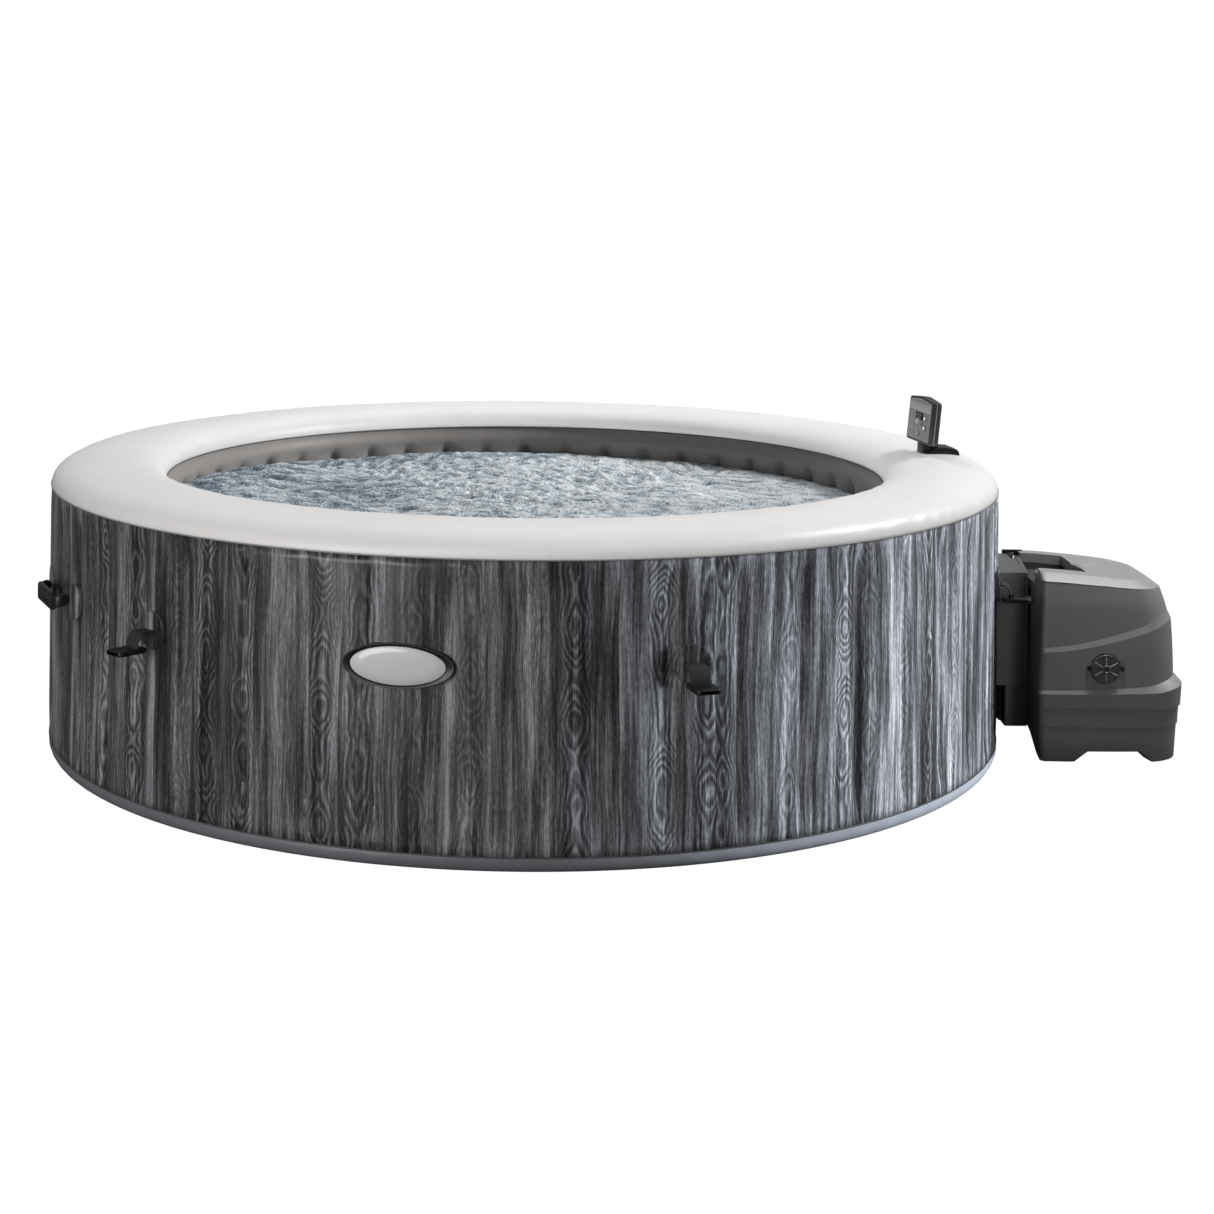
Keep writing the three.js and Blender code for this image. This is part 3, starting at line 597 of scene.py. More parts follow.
def build_rim():
    """The domed rim: puckered beside its outer seam, dimpled by the beams inside."""
    cols = BEAMS * 18
    middle, half = (OUTER_R + INNER_R) / 2, (OUTER_R - INNER_R) / 2
    angle = np.concatenate([np.linspace(0, math.pi, 45), np.linspace(math.pi, 0, 13)])[:, None]
    inset = np.concatenate([np.zeros(45), np.full(13, SKIN)])[:, None]
    cosine, sine = np.cos(angle), np.sin(angle)
    squareness = 2 / 2.4
    r = middle + (half - inset) * np.sign(cosine) * np.abs(cosine) ** squareness
    z = SEAM_Z + (RIM_TOP - SEAM_Z - inset) * sine**squareness
    from_outer = np.clip(OUTER_R - r, 0, None)
    from_inner = np.clip(r - INNER_R, 0, None)
    patchy = 0.35 + 0.65 * np.clip(smooth_noise(cols, 5), 0, 1)
    patchy = patchy + 0.9 * np.exp(-(((circle(cols) - math.radians(322)) / 0.22) ** 2))
    lift = 2.9 * MM * patchy * smooth_noise(cols, 95, 1)
    lift = lift * np.exp(-from_outer / 0.045) * fade(from_outer, 0, 0.012)
    beams = (beam_offset(cols) - 0.5) * 2.2 * MM
    lift = lift + beams * np.exp(-from_inner / 0.05) * fade(from_inner, 0, 0.01)
    lift = lift + 0.8 * MM * smooth_noise(cols, 9) * sine
    lift = lift * (inset == 0)
    stand_in(ring("domed_rim", r + lift * cosine, z + lift * sine, RIM_VINYL), "top_rim")


def bead(name, radius, z, thick, material):
    """A thin welded bead round the tub."""
    turn = circle(10)[:, None] + np.zeros(360)
    ring(name, radius + thick * np.cos(turn), z + thick * np.sin(turn), material)


def build_inner_wall():
    """The liner: bulging between the beams, which pinch it in below BEAM_TOP."""
    cols = BEAMS * 18
    z_up = np.linspace(2 * SKIN, SEAM_Z, 5)
    z_down = np.concatenate([np.linspace(SEAM_Z, BEAM_TOP - 0.06, 32), np.linspace(0.42, SKIN * 1.1, 12)])
    z = np.concatenate([z_up, z_down])[:, None]
    behind = np.concatenate([np.full(5, SKIN), np.zeros(len(z_down))])[:, None]
    away = beam_offset(cols)
    uneven = 1 + 0.3 * smooth_noise(cols, 24)
    crown = 11 * MM * fade(z, SEAM_Z, SEAM_Z - 0.035)
    pinched = fade(z, BEAM_TOP + 0.014, BEAM_TOP - 0.018)
    groove = np.exp(-((away / 0.2) ** 2)) * 6 * MM + (1 - np.sin(away * math.pi / 2)) * 10 * MM
    crease = 1.2 * MM * np.exp(-(((z - BEAM_TOP) / 0.016) ** 2)) * np.exp(-((away / 0.3) ** 2))
    r = INNER_R - (crown - (groove * pinched + crease) * uneven) * (behind == 0) + behind
    stand_in(ring("liner_wall", r, np.broadcast_to(z, r.shape), LINER_VINYL), "inner_wall")


def build_band():
    """The plain band that tucks under the foot of the wall."""
    cols = BEAMS * 12
    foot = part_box("base_band")
    turn_under = 16 * MM
    outside = [(INNER_R + 1 * MM, 0.0), (OUTER_R - 40 * MM, 0.0), (OUTER_R - turn_under, 0.0)]
    for k in range(1, 9):
        a = math.pi / 2 * k / 8
        outside.append((OUTER_R - turn_under + 17 * MM * math.sin(a), 20 * MM * (1 - math.cos(a))))
    outside += [(OUTER_R + 0.6 * MM, 26 * MM), (OUTER_R - 0.5 * MM, foot[1].z)]
    inside = [(OUTER_R - SKIN, foot[1].z), (OUTER_R - 9 * MM, 10 * MM), (INNER_R + 1 * MM, SKIN)]
    loop = np.array(outside + inside)
    scallop = 0.8 * MM * smooth_noise(cols, 70)
    lifted = fade(loop[:, 1], 0, 10 * MM)[:, None] * fade(loop[:, 1], 0.03, 0.024)[:, None]
    r = loop[:, 0][:, None] + scallop * lifted
    band = ring("foot_band", r, np.broadcast_to(loop[:, 1][:, None], r.shape), BAND_VINYL)
    stand_in(band, "base_band")


def random_field(size, shortest, longest, span):
    """A periodic square of seeded noise holding only waves between two lengths, in metres."""
    spectrum = np.fft.rfft2(RNG.normal(size=(size, size)))
    fy = np.fft.fftfreq(size, span / size)[:, None]
    fx = np.fft.rfftfreq(size, span / size)[None, :]
    frequency = np.hypot(fx, fy)
    keep = (frequency > 1 / longest) & (frequency < 1 / shortest)
    field = np.fft.irfft2(spectrum * keep / np.maximum(frequency, 1e-6), s=(size, size))
    return field / field.std()


def build_water():
    """A disc of churned water: swell, chop and sharp crests, heaped at the left, with foam."""
    count, span, radius = 520, 1.8, INNER_R - 5 * MM
    swell = random_field(count, 0.14, 0.45, span)
    chop = random_field(count, 0.035, 0.11, span)
    crest = random_field(count, 0.009, 0.022, span)
    froth = random_field(count, 0.05, 0.16, span)
    line = (np.arange(count) + 0.5) / count * 2 - 1
    a, b = np.meshgrid(line, line, indexing="ij")
    # Shirley and Chiu's map from the square to the disc keeps cells even.
    wide = np.abs(a) > np.abs(b)
    big = np.where(wide, a, b)
    small = np.where(wide, b, a)
    angle = math.pi / 4 * small / np.where(big == 0, 1, big)
    x = radius * np.where(wide, big * np.cos(angle), big * np.sin(angle))
    y = radius * np.where(wide, big * np.sin(angle), big * np.cos(angle))
    sharp = 1 - np.abs(crest)
    height = 2.6 * MM * swell + 1.5 * MM * chop + 1.5 * MM * sharp * (1 + 0.4 * froth)
    mound = 10 * MM * np.exp(-((x + 0.14) ** 2 + (y - 0.62) ** 2) / 0.16) + 24 * MM * fade(x, -0.42, -0.80)
    calm = fade(np.hypot(x, y), radius, radius - 0.05)
    z = WATER_Z + mound + height * (0.35 + 0.65 * calm)
    floor = np.full(z.shape, WATER_Z - 60 * MM)
    water = sheet("bath_water", np.stack([x, y, z], axis=-1), np.stack([x, y, floor], axis=-1), WATER)
    foam = 0.42 + 0.22 * froth + 0.18 * chop + 0.25 * (sharp - 0.2)
    layer = water.data.attributes.new("foam", "FLOAT", "POINT")
    layer.data.foreach_set("value", np.concatenate([foam.ravel(), np.zeros(foam.size)]).astype(np.float32))


# ---------------------------------------------------------------- fittings on the wall
PATCH_R = 37.5 * MM
HANDLE_SAG = 5 * MM
FITTING_Z = JOINTS["latch_1_flex"]["pos_m"][2]


def azimuth_of(joint):
    """How far round the tub a joint is."""
    x, y, _ = JOINTS[joint]["pos_m"]
    return math.atan2(y, x)


def patch(name, azimuth, node):
    """A round welded patch: a dark edge painted as the shade along its side, a raised weld ring and a
    slightly domed middle.
    """
    turn = circle(48)
    # The edge layer's dark vinyl is painted shade on the patch's side, where it stands off the wall.
    layers = {
        f"{name}_edge": (SEAM_AND_SHADE_VINYL, [(0.97, -9.0), (0.99, 0.5), (1.0, 4.6), (0.98, 5.4), (0.9, 5.4)]),
        name: (WOOD, [(0.9, 3.0), (0.985, 5.2), (0.985, 5.9), (0.95, 6.4), (0.91, 6.1), (0.87, 5.7),
                      (0.7, 6.2), (0.4, 6.8), (0.12, 7.0)]),
    }
    for layer, (material, rings) in layers.items():
        rows = []
        for share, out in rings:
            r = PATCH_R * share
            rows.append(on_wall(azimuth, r * np.cos(turn), r * np.sin(turn), out * MM, FITTING_Z))
        made = capped(layer, np.array(rows), material)
    stand_in(made, node)


def tape(name, path, width, thick, material, place, body):
    """Flat tape along a path of (out, up) points: rounded edges, UVs in metres."""
    outline = rounded_outline(-width / 2, width / 2, -thick / 2, thick / 2, thick * 0.45, 3)
    across, lift = outline.T
    sag = -0.6 * MM * (across / (width / 2)) ** 2
    rows, uv = [], []
    for point, side, length in zip(path, path_sides(path), path_lengths(path)):
        offset = side * (lift + sag)[:, None]
        rows.append(np.column_stack([point[0] + offset[:, 0], across, point[1] + offset[:, 1]]))
        uv.append(np.column_stack([across, np.full(len(across), length)]))
    made = capped(name, np.array(rows), material, body, np.concatenate(uv))
    made.data.transform(place)
    return made


def smooth_path(points, count):
    """A Catmull-Rom curve through the points."""
    p = np.array([2 * np.array(points[0]) - points[1], *points, 2 * np.array(points[-1]) - points[-2]])
    t = np.linspace(0, len(points) - 1 - 1e-9, count)
    k = t.astype(int)
    s = (t - k)[:, None]
    a, b, c, d = p[k], p[k + 1], p[k + 2], p[k + 3]
    return 0.5 * (2 * b + (c - a) * s + (2 * a - 5 * b + 4 * c - d) * s**2 + (3 * b - a - 3 * c + d) * s**3)


def build_latch(number):
    """A cover latch: welded patch, webbing strap that bends down, and a side-release buckle."""
    joint, node = f"latch_{number}_flex", f"latch_buckle_{number}"
    body = JOINTS[joint]["child"]
    azimuth = azimuth_of(joint)
    place = wall_place(azimuth, FITTING_Z)
    patch(f"patch_weld_{number}", azimuth, f"latch_patch_{number}")
    middle = middle_of(node)
    # Everything from here is in millimetres out from the wall and up from the hinge.
    drop = (math.hypot(middle.x, middle.y) - OUTER_R) / MM - 11
    bend = [(20.0, -1.5), (10.0, -7.0), (3.0, -17.0), (0.5, -28.0), (0.0, -39.0)]
    points = [(3.0, -3.0), (9.0, 0.5)] + [(drop - back, up + 3.0 * (back > 9)) for back, up in bend]
    path = smooth_path(np.array(points) * MM, 28)
    strap = tape(f"strap_{number}", path, 39 * MM, 2.4 * MM, WEBBING, place, body)
    stand_in(strap, f"latch_strap_{number}")
    buckle_top = -27.3

    def slab(name, x, y, z, corner, edge):
        """A block whose x runs from the buckle's near end and whose z runs up from its top."""
        return block(name, [drop + v - 23 for v in x], y, [buckle_top + v for v in z], corner, edge, BLACK)

    # Where the strap is short, the buckle's near end is cut back to stay clear of the patch.
    near = max(0.0, 35.5 - drop)
    shell = slab(f"buckle_{number}", (near, 68), (-25, 25), (-10, 0), 9, 3.0)
    carve(
        shell,
        slab("strap_slot", (16, 28), (-20.5, 20.5), (-20, 9), 1.5, 0.2),
        slab("mouth", (34, 80), (-17, 17), (-7.6, -2.4), 1.5, 0.8),
        slab("left_window", (38, 57), (-40, -20.5), (-7.6, -2.4), 1.5, 0.8),
        slab("right_window", (38, 57), (20.5, 40), (-7.6, -2.4), 1.5, 0.8),
        slab("dip", (36, 52), (-9, 9), (-1.2, 9), 3, 0.4),
    )
    shell.data.transform(place)
    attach(shell, body)
    stand_in(shell, node)


def build_handle(number):
    """A carry handle: a bowed strap between two patches, with a ribbed grip plate on its front."""
    joint = f"handle_{number}_swing"
    place = wall_place(azimuth_of(joint), FITTING_Z)
    half_span, reach, turn, thick = 84.5 * MM, 33 * MM, 15 * MM, 6.8 * MM
    plan = [(x, -half_span) for x in np.linspace(4.5 * MM, reach - turn, 6)]
    for k in range(1, 9):
        a = math.pi / 2 * k / 8
        plan.append((reach - turn + turn * math.sin(a), -half_span + turn * (1 - math.cos(a))))
    plan += [(reach, y) for y in np.linspace(-half_span + 20 * MM, 0, 8)]
    plan = np.array(plan + [(x, -y) for x, y in reversed(plan[:-1])])
    x, y = plan.T
    grown = fade(np.abs(y), half_span - 3 * MM, half_span - 26 * MM)
    # Each arm's root is round about the hinge, and the grip hangs a little below it.
    root = np.sqrt(np.clip((12 * MM) ** 2 - (16 * MM - x) ** 2, (4 * MM) ** 2, None))
    tall = np.where(x < 16 * MM, 2 * root, 24 * MM + 16 * MM * grown)
    sag = HANDLE_SAG * fade(x, 14 * MM, reach)
    outward, length = -path_sides(plan), path_lengths(plan)
    rows, uv = [], []
    for k, point in enumerate(plan):
        outline = rounded_outline(-tall[k] / 2, tall[k] / 2, -thick / 2, thick / 2, 2.6 * MM, 4)
        out = point + outward[k] * outline[:, 1:]
        rows.append(np.column_stack([out, outline[:, 0] - sag[k]]))
        uv.append(np.column_stack([outline[:, 0], np.full(len(outline), length[k])]))
    parts = [capped(f"handle_band_{number}", np.array(rows), BLACK, uv=np.concatenate(uv))]
    face = basis((reach + 2.6 * MM, 0, -HANDLE_SAG), (0, 1, 0), (1, 0, 0))
    border = block("grip_border", (-68, 68), (-18, 18), (0, 2.6), 9, 1, BLACK)
    carve(border, block("grip_well", (-62, 62), (-13, 13), (1, 9), 6, 0.3, BLACK))
    border.data.transform(face)
    parts.append(border)
    for middle in 6.2 * np.arange(-9, 10):
        x = (middle - 1.4, middle + 1.4)
        parts.append(block("rib", x, (-11, 11), (0.6, 2.4), 1.2, 0.6, BLACK, face, steps=3))
    handle = merge(f"carry_grip_{number}", parts)
    handle.data.transform(place)
    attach(handle, JOINTS[joint]["child"])
    stand_in(handle, f"handle_{number}")
    for letter in "ab":
        node = f"handle_patch_{number}{letter}"
        centre = middle_of(node)
        patch(f"patch_weld_{number}{letter}", math.atan2(centre.y, centre.x), node)


def build_badge():
    """A blank oval badge: black bevelled rim, a thin trim line and a pale field."""
    low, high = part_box("oval_badge")
    centre = middle_of("oval_badge")
    azimuth = math.atan2(centre.y, centre.x)
    half_up, half_along = (high.z - low.z) / 2, 110 * MM
    turn = circle(96)

    def ovals(rows):
        """Ovals on the wall, from rows of inset along, inset up and distance out, in millimetres."""
        made = []
        for inset_along, inset_up, out in rows:
            along = (half_along - inset_along * MM) * np.cos(turn)
            up = (half_up - inset_up * MM) * np.sin(turn)
            made.append(on_wall(azimuth, along, up, out * MM, centre.z))
        return np.array(made)

    rim = [(0, 0, -9), (0, 0, 1.8), (0.6, 0.6, 3.2), (1.6, 1.5, 3.9), (3.0, 2.4, 3.4), (14, 4.8, 3.0),
           (15.2, 5.6, 2.2), (16.4, 6.4, 1.2), (60, 30, 1.0)]
    stand_in(capped("badge_rim", ovals(rim), BLACK), "oval_badge")
    field = [(16.8, 6.7, 0.5), (16.8, 6.7, 2.1), (17.4, 7.2, 2.6), (44, 20, 3.0), (104, 40, 3.2)]
    capped("badge_field", ovals(field), ENAMEL)
    trim = [(2.0, 1.6, 3.0), (1.2, 1.0, 4.3), (2.6, 2.0, 4.3), (2.8, 2.2, 3.0)]
    loop_rows("badge_trim", ovals(trim), CASE)


build_outer_wall()
build_rim()
build_inner_wall()
build_band()
bead("rim_welt", OUTER_R + 0.4 * MM, SEAM_Z + 1.0 * MM, 1.4 * MM, WELT_VINYL)
bead("liner_welt", INNER_R - 0.6 * MM, SEAM_Z + 1.0 * MM, 1.3 * MM, SEAM_AND_SHADE_VINYL)
bead("band_welt", OUTER_R + 0.2 * MM, BAND_Z, 1.4 * MM, SEAM_AND_SHADE_VINYL)
build_water()
for number in range(1, 7):
    build_latch(number)
for number in (1, 2):
    build_handle(number)
build_badge()


# ---------------------------------------------------------------- pump unit
PUMP_Y = middle_of("pump_shell").y
CASE_LEFT = 1143 * MM
CASE_RIGHT = 1456 * MM
CASE_CORNER = 14 * MM
CASE_ROUND = 90 * MM
CASE_WALL = 4 * MM
# The tray for the panel: its plan and the height of its floor, in millimetres.
TRAY_PLAN = [(1120, -215), (1257.5, -215), (1241.8, -36), (1120, -36)]
TRAY_FLOOR = 379


def case_plan():
    """The case's plan as columns of weights, anticlockwise from the front left corner.

    Each column weighs right end, side, left and right corner (x, then y) and bow (x, y)."""
    corners = []
    for start, end, side in ((180, 0, -1), (270, 1, -1), (0, 1, 1), (90, 0, 1)):
        for k in range(9):
            a = math.radians(start + 90 * k / 8)
            column = np.zeros(8)
            column[0], column[1] = end, side
            column[3 if end else 2] = math.cos(a) - (2 * end - 1)
            column[5 if end else 4] = math.sin(a) - side
            corners.append(column)
    columns = []
    bows = ((0, -1, 30), (0.4, 0, 10), (0, 1, 30), (0, 0, 10))
    for number, (bow_x, bow_y, count) in enumerate(bows):
        first, last = 9 * number, 9 * number + 8
        columns += corners[first : last + 1]
        following = corners[(last + 1) % 36]
        for k in range(1, count):
            t = k / count
            column = (1 - t) * corners[last] + t * following
            column[6], column[7] = 4 * t * (1 - t) * bow_x, 4 * t * (1 - t) * bow_y
            columns.append(column)
    return np.array(columns).T


PLAN = case_plan()


def case_row(z, left, right, half, inset=0.0, corner=CASE_ROUND, bow=3 * MM):
    """One closed row of points round the case. The inset leaves the left end where it is."""
    end, side, left_x, right_x, left_y, right_y, bow_x, bow_y = PLAN
    x = left + (right - inset - left) * end + CASE_CORNER * left_x + corner * right_x + bow * bow_x
    y = PUMP_Y + (half - inset) * side + CASE_CORNER * left_y + corner * right_y + bow * bow_y
    return np.stack(np.broadcast_arrays(x, y, z), axis=-1)


CASE_X, CASE_Y, _ = case_row(0.0, CASE_LEFT, CASE_RIGHT, 168 * MM).T
FRONT = slice(9, 39)  # the columns that run along the front
# Heights that run along the case: ledge, raised step and lid edge. Nothing steps on the left end.
STEPPED = fade(CASE_X, CASE_LEFT + 0.5 * MM, CASE_LEFT + CASE_CORNER)
ALONG = np.clip((CASE_X - CASE_LEFT) / (300 * MM), 0, 1)
LEDGE_OUT_Z = np.interp(CASE_X, [1.25, 1.38, 1.456], [0.152, 0.156, 0.168])
LEDGE_IN_Z = np.interp(CASE_X, [1.143, 1.25, 1.34, 1.40, 1.456], [0.158, 0.160, 0.165, 0.171, 0.184])
STEP_Z = (246 + 69 * ALONG**1.6) * MM
STEP_WIDE = (9.5 + 6.5 * ALONG) * MM
STEP_DEEP = 3.4 * MM * STEPPED
LID_Z = (396 - 21 * ALONG**1.3) * MM


def shell_row(z, inset=0.0, wall=0.0):
    """A row on the upper shell, `wall` inside its outer surface."""
    left = np.interp(z, [0.15, 0.40], [1.1385, 1.148]) + wall
    leaning = [1.4575, 1.4565, 1.4545, 1.451, 1.440, 1.4245]
    right = np.interp(z, [0.15, 0.212, 0.257, 0.31, 0.347, 0.391], leaning)
    half = np.interp(z, [0.15, 0.257, 0.347, 0.40], [0.1675, 0.1668, 0.1645, 0.160])
    return case_row(z, left, right, half, inset + wall)


def prism(name, plan, z0, z1, material=CASE):
    """An upright block in millimetres, on a plan of (x, y)."""
    rows = [[(x, y, z) for x, y in plan] for z in (z0, z1)]
    return capped(name, np.array(rows) * MM, material, smooth=False)


def build_pump_shell():
    """The upper shell, with openings for the pipes and the tray."""
    spread = np.linspace(0, 1, 9)
    bottom, top = LEDGE_IN_Z + 0.5 * MM, LID_Z - 0.8 * MM
    under, over = STEP_Z - STEP_WIDE / 2, STEP_Z + STEP_WIDE / 2
    rows = [shell_row(bottom + (under - bottom) * t) for t in spread]
    rows += [shell_row(over + (top - over) * t, STEP_DEEP) for t in spread]
    rows += [shell_row(z, STEP_DEEP, CASE_WALL) for z in (top, over, bottom)]
    shell = loop_rows("case_shell", np.array(rows), CASE)
    pipes = block("pipe_opening", (1110, 1168), (-160, -10), (190, 360), 6, 1, CASE)
    carve(shell, pipes, prism("tray_opening", TRAY_PLAN, TRAY_FLOOR, 460))
    sharpen(shell, 13)
    stand_in(shell, "pump_shell")


def build_pump_base():
    """The skirt: a ledge on top, two shallow steps, an arch between the feet and a floor."""
    arch = 23 * MM * np.interp(CASE_X, [1.212, 1.240, 1.350, 1.376], [0, 1, 1, 0])
    end_arch = 47 * MM * fade(np.abs(CASE_Y - PUMP_Y), 0.155, 0.03) * (CASE_X < CASE_LEFT + 1 * MM)
    foot = np.maximum(arch, end_arch)
    grow = (0.3 + 0.7 * ALONG) * STEPPED

    def skirt_row(z, inset=0.0, wall=0.0):
        left = np.interp(z, [0.0, 0.16], [1.144, 1.138]) + wall
        right = np.interp(z, [0.0, 0.168], [1.4632, 1.4720])
        half = np.interp(z, [0.0, 0.16], [0.1655, 0.1715])
        return case_row(z, left, right, half, inset + wall, 76 * MM)

    rows = [
        skirt_row(np.full(len(foot), 0.052), 5 * MM, 9 * MM),
        skirt_row(foot + 1 * MM, 5 * MM, 9 * MM),
        skirt_row(foot, 5 * MM, 6 * MM),
        skirt_row(foot, 5 * MM * grow, 2.5 * MM),
        skirt_row(foot + 1.2 * MM, 5 * MM * grow, 0.6 * MM),
        skirt_row(foot + 3.5 * MM, 5 * MM * grow),
    ]
    for low, high, steps in ((0.052, 0.0764, 5), (0.0776, 0.118, 3), (0.1192, None, 0)):
        top = LEDGE_OUT_Z - 1.2 * MM if high is None else high
        for t in (0, 0.5, 1):
            rows.append(skirt_row(low + (top - low) * t, steps * MM * grow))
    rows.append(skirt_row(LEDGE_OUT_Z, 0.8 * MM))
    rows.append(shell_row(LEDGE_IN_Z))
    rows.append(shell_row(LEDGE_IN_Z - 1 * MM, wall=5 * MM))
    rows.append(shell_row(np.full(len(foot), 0.060), wall=8 * MM))
    skirt = capped("case_skirt", np.array(rows), CASE)
    sharpen(skirt, 20)
    neck_foot = block("neck_foot", (1089, 1141), (-160, -10), (47, 140.5), 5, 1.5, CASE)
    neck_root = block("neck_root", (1081.5, 1095), (-128, -30), (52, 140), 3, 1, CASE)
    for one in (neck_foot, neck_root):
        sharpen(one, 30)
    stand_in(merge("case_skirt", [skirt, neck_foot, neck_root]), "pump_base")


def build_pump_lid():
    """The bevelled lid, and the tray that is sunk into it with a shelf and a lip."""
    right, half = 1.4263 + 0.8 * MM - STEP_DEEP, 0.1602 + 0.8 * MM - STEP_DEEP
    profile = [(150, 0), (0, 0), (0, 1.2), (0.7, 2.0), (24.5, 16.4), (26, 17.2), (28, 17.8), (60, 19.6),
               (100, 21.0), (150, 22.0)]
    rows = []
    for inset, rise in profile:
        corner = max(90 - 0.75 * inset, 6) * MM
        rows.append(case_row(LID_Z + rise * MM, 1.1482, right, half, inset * MM, corner))
    lid = capped("case_lid", np.array(rows), CASE)
    carve(lid, prism("tray_opening", TRAY_PLAN, 300, 460))
    sharpen(lid, 16)
    outside = [(1149, -219), (1261, -219), (1246, -32), (1149, -32)]
    inside = [(1120, -215.4), (1258, -215.4), (1242.2, -35.6), (1120, -35.6)]
    # The tray's bowl is near-black, painted shade inside the tray.
    bowl = prism("tray_bowl", outside, 372, 404, RECESS_SHADE)
    carve(bowl, prism("bowl_inside", inside, TRAY_FLOOR, 460))
    shelf = block("tray_shelf", (1149.5, 1196), (-215, -176), (TRAY_FLOOR, 403), 6, 2, CASE)
    # The lip is near-black too, painted shade.
    lip = block("tray_lip", (1112, 1160), (-5, 4), (404, 417.5), 4, 3, RECESS_SHADE)
    for one in (shelf, lip):
        sharpen(one, 30)
    stand_in(merge("case_lid", [lid, bowl, shelf]), "pump_lid")


def build_neck():
    """The cover over the pipes: shouldered section, fitted to the round wall at its left end."""
    front, back, foot, top = -168.0, -2.0, 141.5, 410.0
    outside = [(front, foot), (front, 300), (front, 389), (front + 1.6, 390.5), (front + 1.6, 392.5),
               (front + 0.4, 394), (front + 3, 396.6), (front + 10, 399), (front + 40, 404.6),
               (front + 70, 409.2), (front + 76, top), (back - 9, top), (back - 3, 408), (back, 402),
               (back, 300), (back, foot)]
    wall = 4.0
    y, z = np.array(outside).T
    side = np.where(y < (front + back) / 2, -1, 1)
    lowered = np.where(z > 380, z - wall, np.minimum(z, top - wall))

    def grid(y, z, flange):
        """Sections from the tub's wall to the case, ending in a flange."""
        hug = np.sqrt(((OUTER_R + 1 * MM) / MM) ** 2 - y**2)
        rows = []
        for x, out in ((hug, 0), (1100, 0), (1128.5, 0), (1129.5, flange), (1137.2, flange)):
            rows.append(np.stack(np.broadcast_arrays(x, y + side * out, z + out * (z > 405)), axis=-1))
        return np.array(rows) * MM

    neck = sheet("neck_hood", grid(y, z, 2.2), grid(y - side * wall, lowered, 0), CASE)
    carve(neck, block("notch", (1118.5, 1160), (-71, -14), (395, 430), 1, 0.2, CASE))
    sharpen(neck, 14)
    stand_in(neck, "neck_cover")
    # A near-black strip of painted shade in the gap where the neck meets the case.
    block("neck_seam", (1129, 1130), (-170.8, -169), (142, 385), 0.3, 0.1, RECESS_SHADE)


def front_y(x, z):
    """Where the upper shell's front face is."""
    front = shell_row(np.full(len(CASE_X), z))[FRONT]
    return np.interp(x, front[:, 0], front[:, 1])


def build_knob():
    """Six-ribbed drain knob in a shallow ring, with two lugs and a thin hatch outline round it."""
    centre = middle_of("drain_knob")
    face = front_y(centre.x, centre.z)
    place = basis((centre.x, face, centre.z), (1, 0, 0), (0, -1, 0))
    profile = [(0, 0.6), (31.2, 0.6), (31.5, 1.4), (31.5, 7.2), (30.6, 8), (28.8, 8), (28.2, 7),
               (27.8, 4.8), (9.8, 4.2), (9.2, 9.2), (8.4, 10), (6.4, 10), (5.8, 9.2), (5.6, 2.8), (0, 2.8)]
    knob = lathe("knob", profile, KNOB, place)
    sharpen(knob, 30)
    parts = [knob]
    for k in range(6):
        turned = place @ Matrix.Rotation(math.radians(30 + 60 * k), 4, "Z")
        parts.append(block("rib", (8, 28.4), (-1.6, 1.6), (3, 9.2), 0.8, 1.2, CASE, turned, steps=3))
    knob = merge("drain_knob_ribbed", parts)
    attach(knob, "drain_knob_body")
    stand_in(knob, "drain_knob")
    # A near-black disc of painted shade in the shallow ring round the knob.
    lathe("knob_recess", [(0, -1), (34, -1), (33.6, 0.4), (0, 0.4)], RECESS_SHADE, place)
    for turn in (math.pi, 0):
        turned = place @ Matrix.Rotation(turn, 4, "Z")
        sharpen(block("knob_lug", (33, 40), (-5, 5), (-1, 3.2), 2.4, 1, BLACK, turned), 30)
    build_hatch(centre)


def build_hatch(centre):
    """A thin groove on the front, up one side of the knob, over it and down the other."""
    reach = 42 * MM
    sill = np.interp(centre.x, CASE_X[FRONT], LEDGE_IN_Z[FRONT]) + 1 * MM
    upright = np.linspace(sill, centre.z - 1 * MM, 8)
    path = [(centre.x - reach, z) for z in upright]
    for a in np.linspace(math.pi, 0, 33):
        path.append((centre.x + reach * math.cos(a), centre.z + 0.62 * reach * math.sin(a)))
    path = np.array(path + [(centre.x + reach, z) for z in upright[::-1]])
    side = path_sides(path) * 0.45 * MM
    edges = np.stack([path - side, path + side], axis=1)
    y = np.array([[front_y(x, z) for x, z in pair] for pair in edges])

    def layer(out):
        return np.stack([edges[:, :, 0], y - out, edges[:, :, 1]], axis=-1)

    # The groove is a near-black strip on the face, painted shade rather than a cut.
    sheet("hatch_groove", layer(0.15 * MM), layer(-0.5 * MM), RECESS_SHADE)


# ---------------------------------------------------------------- control panel
KEYS = ("heat_key", "bubble_key", "power_key")


